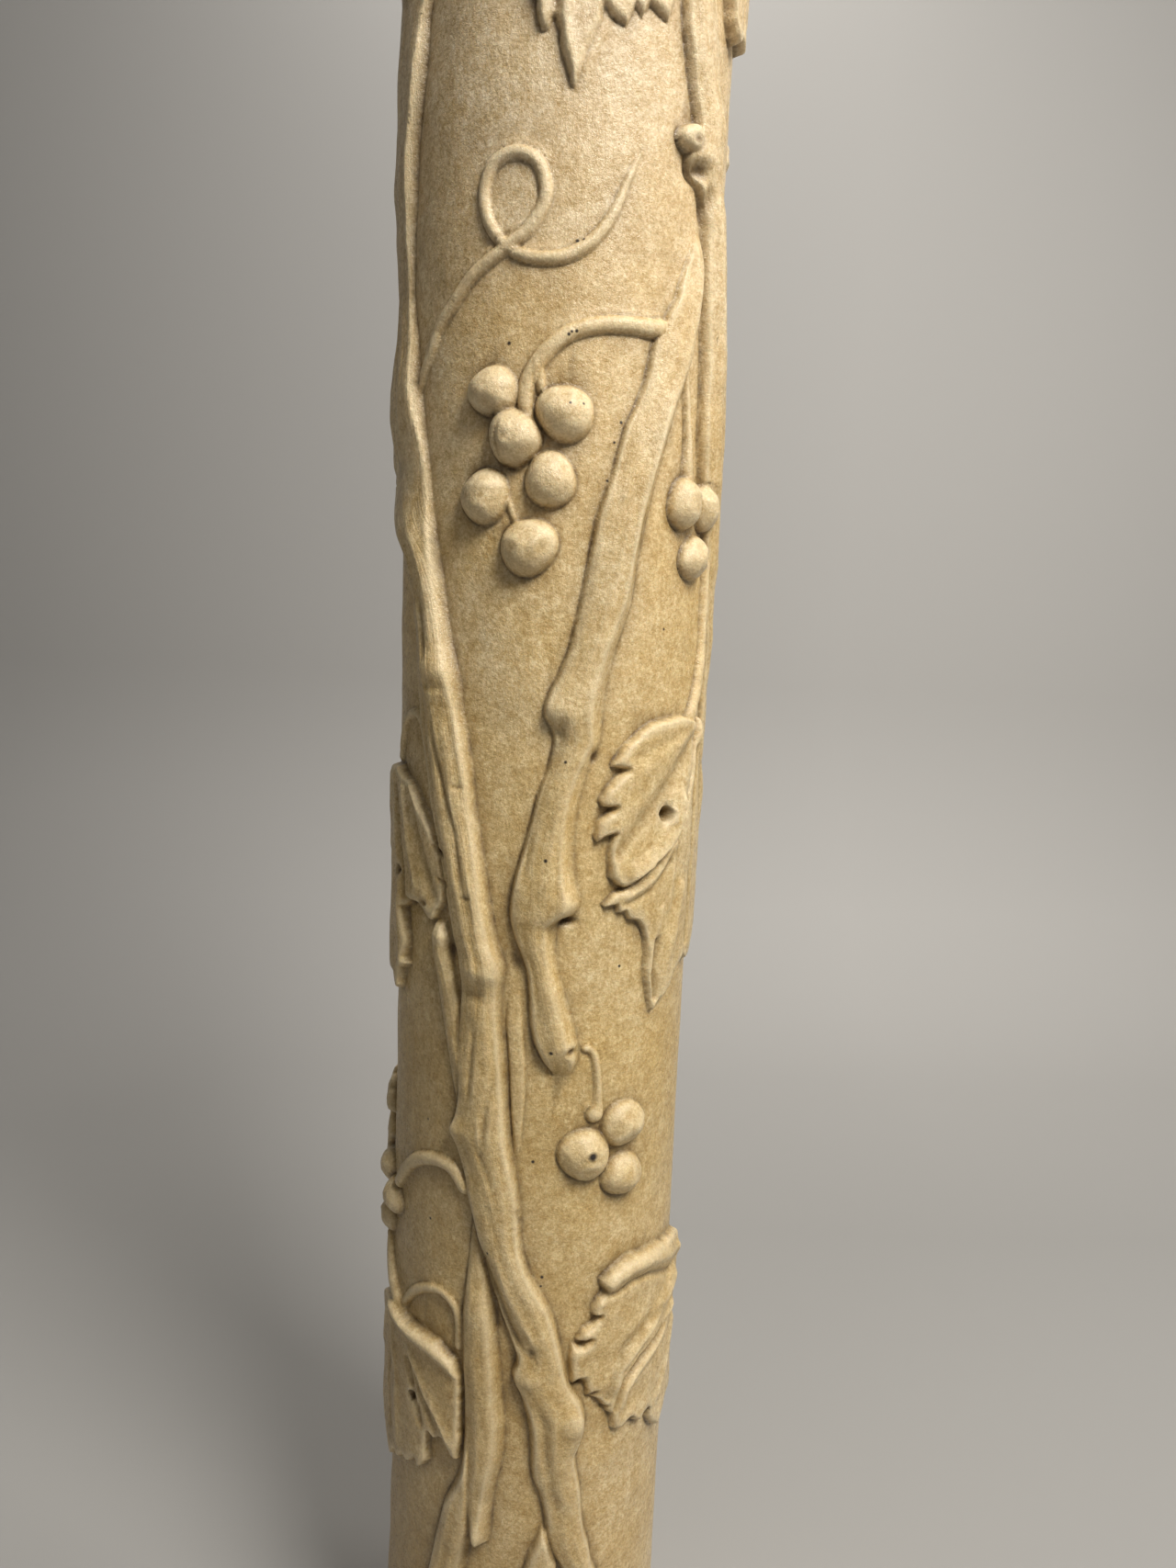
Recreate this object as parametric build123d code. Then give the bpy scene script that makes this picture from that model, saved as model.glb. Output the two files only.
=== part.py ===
"""Carved marble column shaft: a turned drum of stone with a grapevine cut round it in relief."""
from build123d import *
import math
import os

# The shaft, in millimetres. Its axis is Z and its lower bed is at Z = 0.
SHAFT_HEIGHT = 1000.0
GROUND_RADIUS = 77.5      # the stone between the carvings
COLLAR_RISE = 10.0        # the plain turned margin left at each end, above the ground
COLLAR_HEIGHT = 36.0
COLLAR_BEVEL = 6.0        # the slope from the collar down to the ground
ARRIS = 1.5               # the broken edge at each bed

# The relief. A stem or tendril is partly sunk in the ground, and so is a grape.
STEM_HALF_WIDTH = 12.5
STEM_RISE = 8.0
STEM_SIDES = 8            # the tooled facets round a stem
TENDRIL_HALF_WIDTH = 3.6
TENDRIL_RISE = 3.4
TENDRIL_SIDES = 6
GRAPE_RADIUS = 13.0
GRAPE_RISE = 9.6
GRAPE_SIDES = 8           # the flats left by the chisel round a grape
GRAPE_RINGS = (-0.70, 0.32, 0.76, 0.97)   # heights of its rings above its centre, as shares of its radius
LEAF_RISE = 5.5
LEAF_ROOT = 10.0          # how far a lobe runs into the drum below the ground
LEAF_DRAFT = 0.84         # the face of a lobe as a share of its foot
LOBE_LEAN = 9.0           # how far the face of a lobe is swung to one side
EYE_RADIUS = 3.2          # the drilled holes between the lobes
EYE_DEPTH = 6.0           # below the ground
SPARE = 1.0               # how far a rough lobe stands out past its finished face

# Stems, from the top down: share of the height, degrees round from the front, girth.
LEFT_STEM = (
    (0.985, -44, 0.80), (0.925, -51, 0.85), (0.860, -67, 0.75), (0.800, -73, 0.72),
    (0.740, -67, 0.80), (0.680, -55, 0.92), (0.620, -46, 0.94), (0.603, -43, 1.12),
    (0.580, -40, 1.05), (0.530, -33, 1.00), (0.480, -24.5, 0.95), (0.462, -21, 1.05),
    (0.440, -22.5, 1.00), (0.400, -20, 1.00), (0.378, -20, 1.12), (0.350, -15.5, 1.02),
    (0.310, -10, 0.95), (0.275, 0.5, 1.02), (0.250, 6, 1.05), (0.222, 11.5, 1.18),
    (0.200, 11.5, 0.98), (0.160, 18.5, 0.95), (0.100, 32, 0.95), (0.015, 40, 0.95),
)
MIDDLE_STEM = (
    (0.806, 52, 0.35), (0.785, 49.5, 0.62), (0.755, 42, 0.92), (0.720, 31, 1.02),
    (0.680, 22.5, 1.04), (0.640, 18, 1.04), (0.615, 13, 0.95), (0.595, 9, 1.12),
    (0.575, 8, 1.00), (0.540, 3, 0.92), (0.515, 1, 1.10), (0.500, 0.5, 1.28),
    (0.485, -2, 0.86), (0.465, 0.5, 0.70), (0.445, 4, 0.84), (0.428, 7, 0.92), (0.415, 9, 0.62),
)
RIGHT_STEM = (
    (0.985, 40, 0.80), (0.900, 45, 0.82), (0.862, 51, 0.86), (0.846, 50, 1.08),
    (0.825, 57, 0.84), (0.780, 66, 0.86), (0.720, 71, 0.92), (0.650, 80, 0.90),
    (0.560, 98, 0.95), (0.540, 100, 1.15), (0.450, 112, 1.00), (0.350, 130, 1.00),
    (0.270, 137, 1.15), (0.180, 130, 1.00), (0.090, 118, 1.00), (0.015, 112, 1.00),
)
LOWER_STEM = (
    (0.316, -21, 0.22), (0.290, -20, 0.55), (0.250, -18.5, 0.80), (0.220, -16.5, 0.88),
    (0.185, -17, 0.80), (0.165, -17, 0.52), (0.154, -17, 0.25),
)
FORKED_STEM = (
    (0.205, -21, 0.50), (0.170, -26, 0.78), (0.130, -31, 0.90), (0.080, -38, 0.90), (0.015, -44, 0.90),
)
BACK_STEM = (
    (0.985, 150, 0.85), (0.900, 161, 0.90), (0.830, 178, 0.95), (0.815, 181, 1.15),
    (0.740, 190, 1.00), (0.640, 214, 0.95), (0.560, 224, 1.15), (0.460, 222, 1.00),
    (0.360, 206, 0.95), (0.270, 194, 1.12), (0.180, 200, 1.00), (0.090, 216, 1.00), (0.015, 222, 1.00),
)
LOPPED_STEM = (
    (0.482, -39.5, 0.30), (0.470, -38.5, 0.52), (0.450, -35, 0.50), (0.425, -31, 0.50), (0.395, -27, 0.40),
)
FOOT_FORK = (
    (0.176, 7.5, 0.35), (0.160, 4.5, 0.60), (0.140, 1.5, 0.66), (0.110, -3.5, 0.66), (0.060, -8.5, 0.66),
    (0.015, -11, 0.66),
)
BACK_BRANCH = (
    (0.700, 201, 0.50), (0.660, 186, 0.62), (0.620, 170, 0.80), (0.560, 158, 0.72),
    (0.510, 152, 0.62), (0.470, 152, 0.45),
)
STEMS = (
    LEFT_STEM, MIDDLE_STEM, RIGHT_STEM, LOWER_STEM, FORKED_STEM, LOPPED_STEM, FOOT_FORK,
    BACK_STEM, BACK_BRANCH,
)

# Tendrils and stalks, the same way.
TENDRILS = (
    (
        (0.742, -58, 0.75), (0.757, -50.5, 1), (0.770, -44, 1), (0.783, -34.5, 1), (0.791, -27, 1),
        (0.797, -19, 1), (0.804, -12.5, 1), (0.813, -8.5, 1), (0.822, -8, 1), (0.830, -11.5, 1),
        (0.834, -17.5, 1),
    ),
    (
        (0.834, -17, 1), (0.831, -23.5, 1), (0.824, -27.5, 1), (0.814, -28.5, 1), (0.804, -26, 1),
        (0.796, -20.5, 0.9), (0.791, -11, 0.95), (0.791, -2, 0.95), (0.796, 6, 0.85), (0.806, 13, 0.7),
        (0.822, 18.5, 0.35),
    ),
    (
        (0.762, 33, 1.1), (0.764, 24, 1), (0.763, 15, 1), (0.758, 5, 1), (0.749, -3.5, 1),
        (0.738, -9.5, 1), (0.722, -11, 0.9),
    ),
    ((0.426, 13, 0.9), (0.427, 18, 0.8), (0.419, 21.5, 0.8), (0.405, 22.5, 0.8), (0.392, 21.5, 1.1)),
    (
        (0.350, -26, 1.1), (0.358, -32, 1), (0.359, -40, 1), (0.354, -50, 1), (0.345, -58, 1),
        (0.332, -66, 1),
    ),
    (
        (0.262, -27, 0.8), (0.280, -28, 0.8), (0.288, -35, 0.8), (0.286, -43, 0.8), (0.277, -53, 0.8),
        (0.262, -61, 0.8),
    ),
)

# Bunches: share of the height, degrees, then each grape's place across and up in millimetres, and its size.
BUNCHES = (
    (0.700, -12, ((-15, 33, 0.92), (18, 24, 1.0), (-4, 13, 0.96), (13, -5, 0.95), (-18, -13, 0.98), (4, -35, 1.04))),
    (0.370, 25, ((-10, 1, 1.08), (11, 14, 0.98), (12, -13, 0.92))),
    (0.680, 58, ((-10, 9, 0.96), (11, 9, 0.9), (0, -16, 0.88))),
    (0.320, -74, ((4, 0, 0.85), (-14, 10, 0.85), (-8, -16, 0.8))),
    (0.560, 190, ((-13, 12, 0.98), (12, 14, 0.94), (0, -7, 1.0), (2, -33, 0.96))),
    (0.235, 166, ((-12, 10, 0.96), (13, 12, 0.92), (1, -11, 1.0))),
    (0.860, 116, ((-10, 8, 0.95), (13, 2, 0.98), (-1, -18, 0.92))),
)

# Leaves: where the stalk meets them, then each lobe's heading, length and width. 0 heads up, 90 right.
LEAVES = (
    (0.583, 60, (
        (-107, 55, 32), (-132, 76, 36), (-150, 88, 28), (-173, 144, 40), (173, 118, 34), (143, 80, 34), (115, 52, 30),
    )),
    (0.292, 74, (
        (-86, 62, 24), (-105, 78, 28), (-122, 90, 30), (-143, 98, 30), (-160, 95, 30), (-178, 104, 32),
        (155, 82, 34), (125, 56, 30),
    )),
    (0.262, -61, (
        (102, 48, 22), (140, 76, 34), (163, 84, 28), (180, 88, 26), (-160, 76, 32), (-125, 56, 30),
    )),
    (0.556, -69, (
        (132, 58, 24), (149, 76, 30), (174, 114, 32), (-165, 98, 34), (-133, 67, 34), (-106, 42, 26),
    )),
    (0.958, 14, (
        (-170, 100, 28), (-152, 80, 24), (-178, 70, 26), (161, 68, 26), (-125, 56, 28), (128, 45, 24),
    )),
    (0.955, 76, ((-168, 88, 26), (170, 66, 30), (-145, 46, 24), (133, 44, 26))),
    (0.920, 225, ((176, 92, 34), (137, 68, 30), (-147, 64, 30), (95, 45, 26), (-106, 42, 26))),
    (0.780, 120, ((185, 90, 34), (147, 66, 30), (-137, 66, 30), (105, 42, 26), (-95, 42, 26))),
    (0.420, 168, ((184, 84, 32), (146, 60, 28), (-138, 60, 28))),
    (0.740, 250, ((174, 90, 34), (134, 65, 30), (-148, 67, 30), (92, 43, 26), (-109, 44, 26))),
    (0.165, 168, ((182, 84, 32), (144, 60, 28), (-140, 60, 28))),
    (0.370, 248, ((182, 88, 34), (144, 62, 30), (-140, 62, 30), (102, 42, 26), (-98, 42, 26))),
)

# Eyes drilled between the lobes: share of the height, degrees.
EYES = ((0.540, 49), (0.216, -52), (0.520, -78), (0.215, 70))

# A lobe's outline, as shares of its length and half width, from the stalk to the tip.
LOBE_EDGE = ((0.0, 0.42), (0.42, 1.0), (0.49, 0.77), (0.73, 0.68), (0.78, 0.44))


def on_shaft(share, degrees, lift=0.0):
    """A point on the ground of the shaft, or lift above it."""
    radius, turn = GROUND_RADIUS + lift, math.radians(degrees)
    return Vector(radius * math.sin(turn), -radius * math.cos(turn), share * SHAFT_HEIGHT)


def outward(degrees):
    """The direction out of the stone at that place round the shaft."""
    turn = math.radians(degrees)
    return Vector(math.sin(turn), -math.cos(turn), 0)


def sunk_radius(half_width, rise):
    """The circle that stands rise above the ground and is twice half_width wide where it meets it."""
    return (half_width ** 2 + rise ** 2) / (2 * rise)


def faceted_member(stations, half_width, rise, sides, lift=0.0):
    """A tapering faceted stem or tendril that lies along the shaft through its stations."""
    radius = sunk_radius(half_width, rise)
    centres = [on_shaft(share, turn, lift + (rise - radius) * girth) for share, turn, girth in stations]
    sections = []
    for index, (share, turn, girth) in enumerate(stations):
        ahead = centres[min(index + 1, len(centres) - 1)]
        behind = centres[max(index - 1, 0)]
        plane = Plane(origin=centres[index], x_dir=outward(turn), z_dir=ahead - behind)
        sections.append(plane * RegularPolygon(radius * girth, sides, rotation=180 / sides))
    return loft(sections, ruled=True)


def shaft_drum():
    """The turned drum: plain collars at the ends, the ground cut back between them."""
    collar = GROUND_RADIUS + COLLAR_RISE
    half = [
        (0, 0), (collar - ARRIS, 0), (collar, ARRIS), (collar, COLLAR_HEIGHT),
        (GROUND_RADIUS, COLLAR_HEIGHT + COLLAR_BEVEL),
    ]
    mirrored = [(radius, SHAFT_HEIGHT - height) for radius, height in reversed(half)]
    return revolve(Plane.XZ * make_face(Polyline(*half, *mirrored, close=True)))


def grape(share, turn, size):
    """A chiselled ball, partly sunk in the ground, its flats in rings from its foot to its crown."""
    radius, sink = GRAPE_RADIUS * size, (GRAPE_RISE - GRAPE_RADIUS) * size
    rings = []
    for level in GRAPE_RINGS:
        centre = on_shaft(share, turn, sink + level * radius)
        plane = Plane(centre, x_dir=Vector(0, 0, 1), z_dir=outward(turn))
        rings.append(plane * RegularPolygon(radius * math.sqrt(1 - level ** 2), GRAPE_SIDES))
    return loft(rings, ruled=True)


def grapes():
    balls = []
    for share, turn, berries in BUNCHES:
        for across, up, size in berries:
            degrees = turn + math.degrees(across / GROUND_RADIUS)
            balls.append(grape(share + up / SHAFT_HEIGHT, degrees, size))
    return balls


def lobe(share, turn, heading, length, width, lean):
    """One pointed, toothed lobe: a drafted prism whose face is cut round the shaft."""
    along, across = math.cos(math.radians(heading)), math.sin(math.radians(heading))
    middle_turn = turn + math.degrees(across * length / 2 / GROUND_RADIUS)
    middle_share = share + along * length / 2 / SHAFT_HEIGHT
    tangent = Vector(math.cos(math.radians(middle_turn)), math.sin(math.radians(middle_turn)), 0)
    direction = Vector(0, 0, 1) * along + tangent * across

    def outline(lift, scale):
        plane = Plane(on_shaft(middle_share, middle_turn, lift), x_dir=direction, z_dir=outward(middle_turn))
        edge = [((x - 0.5) * length * scale, y * width / 2 * scale) for x, y in LOBE_EDGE]
        mirrored = [(x, -y) for x, y in reversed(edge)]
        return plane * make_face(Polyline(*edge, (length / 2 * scale, 0), *mirrored, close=True))

    prism = loft([outline(-LEAF_ROOT, 1.0), outline(LEAF_RISE + SPARE, LEAF_DRAFT)], ruled=True)
    swing = tangent * lean
    level = middle_share * SHAFT_HEIGHT
    trim_height = 2 * (length + width)
    trim = Pos(swing.X, swing.Y, level) * Cylinder(GROUND_RADIUS + LEAF_RISE, trim_height)
    return prism & trim


def eye(share, turn):
    """A hole drilled straight in where two lobes part."""
    mouth = LEAF_RISE + 2 * SPARE
    plane = Plane(on_shaft(share, turn, (mouth - EYE_DEPTH) / 2), z_dir=outward(turn))
    return plane * Cylinder(EYE_RADIUS, mouth + EYE_DEPTH)


def leaves():
    lobes = []
    for share, turn, parts in LEAVES:
        for index, (heading, length, width) in enumerate(parts):
            lean = LOBE_LEAN if index % 2 else -LOBE_LEAN
            lobes.append(lobe(share, turn, heading, length, width, lean))
    return lobes


def main():
    stems = [faceted_member(stations, STEM_HALF_WIDTH, STEM_RISE, STEM_SIDES) for stations in STEMS]
    tendrils = [
        faceted_member(stations, TENDRIL_HALF_WIDTH, TENDRIL_RISE, TENDRIL_SIDES) for stations in TENDRILS
    ]
    carved = shaft_drum().fuse(*stems, *tendrils, *grapes(), *leaves())
    carved = carved.cut(*[eye(share, turn) for share, turn in EYES])
    os.makedirs("parts", exist_ok=True)
    export_step(carved, "parts/carved_shaft.step")


main()
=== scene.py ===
import bpy
import math
import numpy as np
from mathutils import Matrix, Vector


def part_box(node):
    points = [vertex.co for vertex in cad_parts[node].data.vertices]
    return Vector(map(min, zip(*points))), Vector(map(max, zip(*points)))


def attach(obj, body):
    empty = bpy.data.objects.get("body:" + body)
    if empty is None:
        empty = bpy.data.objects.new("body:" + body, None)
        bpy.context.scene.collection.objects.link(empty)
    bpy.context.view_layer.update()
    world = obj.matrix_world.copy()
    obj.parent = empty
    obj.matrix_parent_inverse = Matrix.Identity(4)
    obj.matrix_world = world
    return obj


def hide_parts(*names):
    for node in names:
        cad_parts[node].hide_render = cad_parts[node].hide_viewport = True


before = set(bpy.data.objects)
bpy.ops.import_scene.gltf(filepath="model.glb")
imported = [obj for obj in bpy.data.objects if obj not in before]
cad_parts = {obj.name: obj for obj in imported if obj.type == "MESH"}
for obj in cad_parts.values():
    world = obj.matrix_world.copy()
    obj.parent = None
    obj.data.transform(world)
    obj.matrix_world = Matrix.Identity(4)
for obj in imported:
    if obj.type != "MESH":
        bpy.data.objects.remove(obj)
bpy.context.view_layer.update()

# Sizes in millimetres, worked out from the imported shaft. 0 degrees is the front, 90 the right-hand side.
MM = 0.001
low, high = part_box("carved_shaft")
HEIGHT = (high[2] - low[2]) / MM
COLLAR_RISE = 10.0
COLLAR_RADIUS = (high[0] - low[0]) / 2 / MM
GROUND = COLLAR_RADIUS - COLLAR_RISE
COLLAR_HEIGHT = 36.0
COLLAR_BEVEL = 6.0
ARRIS = 1.5

# How finely the stone is cut, and how many triangles of it are kept.
FRONT_STEP = 0.5
BACK_STEP = 0.9
FRONT_LIMIT = 112
LEVEL_STEP = 0.85
KEPT_TRIANGLES = 194000

# The camera, as it stood for the photograph: pixels for the lens, metres for its place.
IMAGE_HEIGHT = 1707
FOCAL_PIXELS = 1282
CAMERA_PLACE = (0.0, -0.62206, 0.645)
CAMERA_RIGHT = (0.9988161, -0.02831507, 0.03955567)
CAMERA_DOWN = (0.03453026, -0.16006851, -0.98650177)
CAMERA_AHEAD = (0.03426448, 0.98669972, -0.15890128)

turns = np.concatenate([
    np.arange(-FRONT_LIMIT, FRONT_LIMIT, FRONT_STEP),
    np.arange(FRONT_LIMIT, 360 - FRONT_LIMIT, BACK_STEP),
])
levels = np.linspace(0, HEIGHT, int(HEIGHT / LEVEL_STEP) + 1)
relief = np.zeros((len(levels), len(turns)))
dirt_and_shade = np.zeros_like(relief)
bark = np.zeros_like(relief)      # how much wood grain is cut there
strand = np.zeros_like(relief)    # millimetres across the stem
paleness = np.zeros_like(relief)


# Noise

def hashed(column, row, seed):
    """One random value from -1 to 1 for each crossing of a lattice, the same on every run."""
    mixed = (column * 374761393 + row * 668265263 + seed * 1274126177) & 0xFFFFFFFF
    mixed = ((mixed ^ (mixed >> 13)) * 1103515245) & 0xFFFFFFFF
    mixed = ((mixed ^ (mixed >> 16)) * 747796405) & 0xFFFFFFFF
    return (mixed >> 8) / float(1 << 23) - 1.0


def noise(x, y, seed, wrap=None):
    """Smooth random values on a lattice one unit wide; wrap is the count of cells round the shaft."""
    x, y = np.broadcast_arrays(x, y)
    column, row = np.floor(x).astype(np.int64), np.floor(y).astype(np.int64)
    fx, fy = x - column, y - row
    fx, fy = fx * fx * (3 - 2 * fx), fy * fy * (3 - 2 * fy)
    left, right = column, column + 1
    if wrap:
        left, right = left % wrap, right % wrap
    underside_shade = hashed(left, row, seed) * (1 - fx) + hashed(right, row, seed) * fx
    above = hashed(left, row + 1, seed) * (1 - fx) + hashed(right, row + 1, seed) * fx
    return underside_shade * (1 - fy) + above * fy


def step(value, start, end):
    """0 before start, 1 after end, and a smooth rise between them."""
    share = np.clip((value - start) / (end - start), 0, 1)
    return share * share * (3 - 2 * share)


# How strong the dirt and painted shade at the feet of the forms are from place to place.
unevenness = np.clip(
    0.62 + 0.75 * noise(turns[None, :] / 360 * 54, levels[:, None] / 10, 6, wrap=54)
    + 0.45 * noise(turns[None, :] / 360 * 150, levels[:, None] / 3.5, 7, wrap=150), 0.12, 1.0,
)


# Carving

CUT_WIDTH = 0.8
ANY_HEIGHT = 99.0
STEM_BLUR = 2.2
TENDRIL_CUT = 0.35


def degrees(length):
    return math.degrees(length / GROUND)


def patch(turn, level, half_width, half_height):
    """The part of the relief near a place, and each point's way across and up from it."""
    across = np.radians((turns - turn + 180) % 360 - 180) * GROUND
    columns = np.flatnonzero(np.abs(across) < half_width)
    rows = np.flatnonzero(np.abs(levels - level) < half_height)
    return np.ix_(rows, columns), across[columns][None, :], (levels[rows] - level)[:, None]


def lay(grid, form, outside, cut=0.4, foot_dirt_and_shade=1.0, grain=0.0, pale=0.0, highest=ANY_HEIGHT):
    """Lay a form on the stone with the fine cut round its foot, darkened there by dirt and painted shade.

    Where what lies under it stands higher than the given height, the two run together with no cut."""
    under = relief[grid]
    beyond = np.maximum(outside, 0)
    runs_together = 1 - step(under, highest, highest + 1.4)
    # Painted shade: on the sides that face the light, the dark line at the foot is weaker and the cut
    # shallower.
    right_side = blurred_rows(step(np.sign(np.gradient(outside, axis=1)) * (outside > -6), 0, 1))
    softer = 1 - 0.6 * right_side
    foot_dirt_and_shade = foot_dirt_and_shade * runs_together * softer
    cut = cut * runs_together * softer
    trench = np.exp(-(beyond / CUT_WIDTH) ** 2) * (outside > -0.2)
    within = outside <= 0
    relief[grid] = np.where(within, np.maximum(under, form), under - cut * trench)
    foot_darkness = foot_dirt_and_shade * unevenness[grid]
    foot = np.exp(-(np.abs(outside) / 0.7) ** 2) * foot_darkness
    halo = 0.10 * np.exp(-beyond / 4.0) * (~within) * foot_darkness
    dirt_and_shade[grid] = np.where(within, np.maximum(dirt_and_shade[grid] * step(-outside, 3, 0), foot * 0.6),
                           np.maximum(dirt_and_shade[grid], np.maximum(foot, halo)))
    bark[grid] = np.where(within, grain, bark[grid])
    paleness[grid] = np.where(within, pale, paleness[grid])


def blurred_rows(field, cells=3):
    """A running mean up and down the shaft."""
    wide = np.pad(field, ((cells, cells), (0, 0)), mode="edge").cumsum(axis=0)
    wide = np.pad(wide, ((1, 0), (0, 0)))
    size = 2 * cells + 1
    return (wide[size:] - wide[:-size]) / size


def smoothed(rows, column, at):
    """A column of a table, read at each level, with its corners rounded."""
    heights = np.array([row[0] for row in rows])
    values = np.array([row[column] for row in rows])
    order = np.argsort(heights)
    reach = np.linspace(-1.6, 1.6, 9)
    weights = np.exp(-reach ** 2)
    read = sum(
        weight * np.interp(at + offset * STEM_BLUR, heights[order], values[order])
        for offset, weight in zip(reach, weights)
    )
    return read / weights.sum()


def softest(first, second, soft):
    """The lesser of two heights, with the crease between them a little rounded."""
    near = np.clip(0.5 + (second - first) / (2 * soft), 0, 1)
    return second * (1 - near) + first * near - soft * near * (1 - near)


def stem(rows, seed, grain=1.0, foot_slope=9.0, head_slope=9.0, lean=0.0, walls=(2.3, 2.0),
         smooth_below=0.0, highest=ANY_HEIGHT):
    """A woody stem between its two edges: rows of level, left and right edge in degrees, and rise.

    Its faces are flats from the chisel that meet in long creases, and its ends may be sloped."""
    bottom, top = min(row[0] for row in rows), max(row[0] for row in rows)
    chosen = np.flatnonzero((levels >= bottom) & (levels <= top))
    at = levels[chosen]
    left, right, rise = (smoothed(rows, column, at)[:, None] for column in (1, 2, 3))
    middle, half = (left + right) / 2, (right - left) / 2
    mean = float(middle.mean())
    off = (turns[None, :] - mean + 180) % 360 - 180 + mean
    half_mm = np.radians(half) * GROUND
    swing = noise(at[:, None] / 34, 0.5, seed + 9) * 0.8 + noise(at[:, None] / 13, 0.5, seed + 10) * 0.35
    across = (off - middle + np.degrees(swing / GROUND) * 0.5) / half
    columns = np.flatnonzero((np.abs(across) < 1 + 14 / half_mm).any(axis=0))
    grid = np.ix_(chosen, columns)
    across = across[:, columns]
    height = at[:, None]
    drift = noise(height / 55, 0.5, seed + 4) * 0.22 + lean
    other_drift = noise(height / 41, 0.5, seed + 5) * 0.22 + lean
    left_tilt = 0.62 + 0.22 * noise(height / 60, 0.5, seed + 6)
    left_flat = rise * (0.98 + left_tilt * (across + 0.22 - drift))
    top_flat = rise * (1.0 + (0.10 * noise(height / 70, 0.5, seed + 7) + 0.3 * lean) * across)
    right_tilt = 0.66 + 0.25 * noise(height / 50, 0.5, seed + 8)
    right_flat = rise * (0.98 - right_tilt * (across - 0.36 - other_drift))
    form = softest(softest(left_flat, right_flat, 0.3), top_flat, 0.3)
    form = softest(form, (across + 1) * half_mm * walls[0], 0.7)
    form = softest(form, (1 - across) * half_mm * walls[1], 0.7)
    form = softest(form, (height - bottom) * foot_slope + 0.6, 0.8)
    form = softest(form, (top - height) * head_slope + 0.6, 0.8)
    # Long creases and crests that run with the wood, and the short flats of the chisel across it.
    folds = noise(across * 2.2 + seed, height / 66, seed)
    creases = np.abs(noise(across * 3.4 + seed + 0.3, height / 52, seed + 1))
    fine = np.abs(noise(across * 7.0, height / 34, seed + 2))
    ridges = folds * 0.80 + (creases - 0.35) * 1.10 + (fine - 0.3) * 0.35
    dents = noise(across * 1.3, height / 13, seed + 11) * 0.50
    dents = dents + noise(across * 3, height / 6, seed + 12) * 0.14
    within = step(form, 0.8, 4.0)
    grain = grain * (0.35 + 0.65 * step(height, smooth_below - 40, smooth_below))
    form = np.maximum(form + (ridges * grain + dents) * within, 0)
    # The creases along the wood are darkened by dirt and painted shade.
    broken = step(noise(across, height / 14, seed + 13), -0.2, 0.5)
    seam = step(-creases, -0.10, 0.0) * within * grain * broken
    lay(grid, form, (np.abs(across) - 1) * half_mm, cut=0.35, grain=grain, highest=highest)
    dirt_and_shade[grid] = np.maximum(dirt_and_shade[grid], seam * 0.55)
    strand[grid] = np.where(np.abs(across) < 1.1, across * half_mm, strand[grid])


def knot(turn, level, half_width, half_height, lift):
    """A swelling, or a hollow where the lift is less than 0."""
    grid, across, up = patch(turn, level, half_width * 2.6, half_height * 2.6)
    far = np.hypot(across / half_width, up / half_height)
    relief[grid] += lift * np.exp(-far ** 2)
    # A hollow is darkened by dirt and painted shade.
    if lift < 0:
        dirt_and_shade[grid] = np.maximum(dirt_and_shade[grid], np.exp(-(far / 0.95) ** 2) * min(1.0, 0.3 - 0.3 * lift))


def middle_of(points):
    """The middle of some places in degrees and level."""
    return sum(point[0] for point in points) / len(points), sum(point[1] for point in points) / len(points)


def unrolled(points, middle):
    """Places in degrees and level as millimetres across and up from their middle."""
    return [(math.radians(turn - middle[0]) * GROUND, level - middle[1]) for turn, level in points]


def patch_round(shape, middle, margin):
    """The part of the relief that holds an unrolled shape, with a margin round it."""
    reach_x = max(abs(x) for x, z in shape) + margin
    reach_z = max(abs(z) for x, z in shape) + margin
    return patch(*middle, reach_x, reach_z)


def near_line(points, width):
    """The relief beside a run of places, the distance from it and the share of the way along it."""
    middle = middle_of(points)
    line = unrolled(points, middle)
    grid, across, up = patch_round(line, middle, 4 * width)
    far, way, side = line_distance(line, across, up)
    return grid, far, way


def crease(points, width, depth, dirt_and_shade_share=0.5):
    """A cut along a run of places in degrees and level, or a crest where the depth is less than 0."""
    grid, far, way = near_line(points, width)
    fade = step(np.minimum(way, 1 - way), -0.02, 0.22)
    cut = np.exp(-(far / width) ** 2) * fade
    relief[grid] -= depth * cut
    # Dirt and painted shade darken the cut.
    if depth > 0:
        dirt_and_shade[grid] = np.maximum(dirt_and_shade[grid], cut ** 2 * dirt_and_shade_share)


def worn_smooth(points, width, lift):
    """Where a form runs softly into the ground: the cut along it is filled, and its dirt and painted shade
    are taken away.
    """
    crease(points, width, -lift, 0)
    grid, far, way = near_line(points, width)
    dirt_and_shade[grid] = dirt_and_shade[grid] * (1 - 0.95 * np.exp(-(far / width) ** 4))


def stain(turn, level, half_width, half_height, strength, seed):
    """A patch of old dirt, broken up by the stone's grain."""
    grid, across, up = patch(turn, level, half_width * 2.2, half_height * 2.2)
    far = np.hypot(across / half_width, up / half_height)
    broken = 0.55 + 0.45 * noise(across / 3.5, up / 5, seed) + 0.35 * noise(across / 1.6, up / 2, seed + 1)
    dirt_and_shade[grid] = np.maximum(dirt_and_shade[grid], np.exp(-far ** 2) * strength * np.clip(broken, 0, 1))


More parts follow.
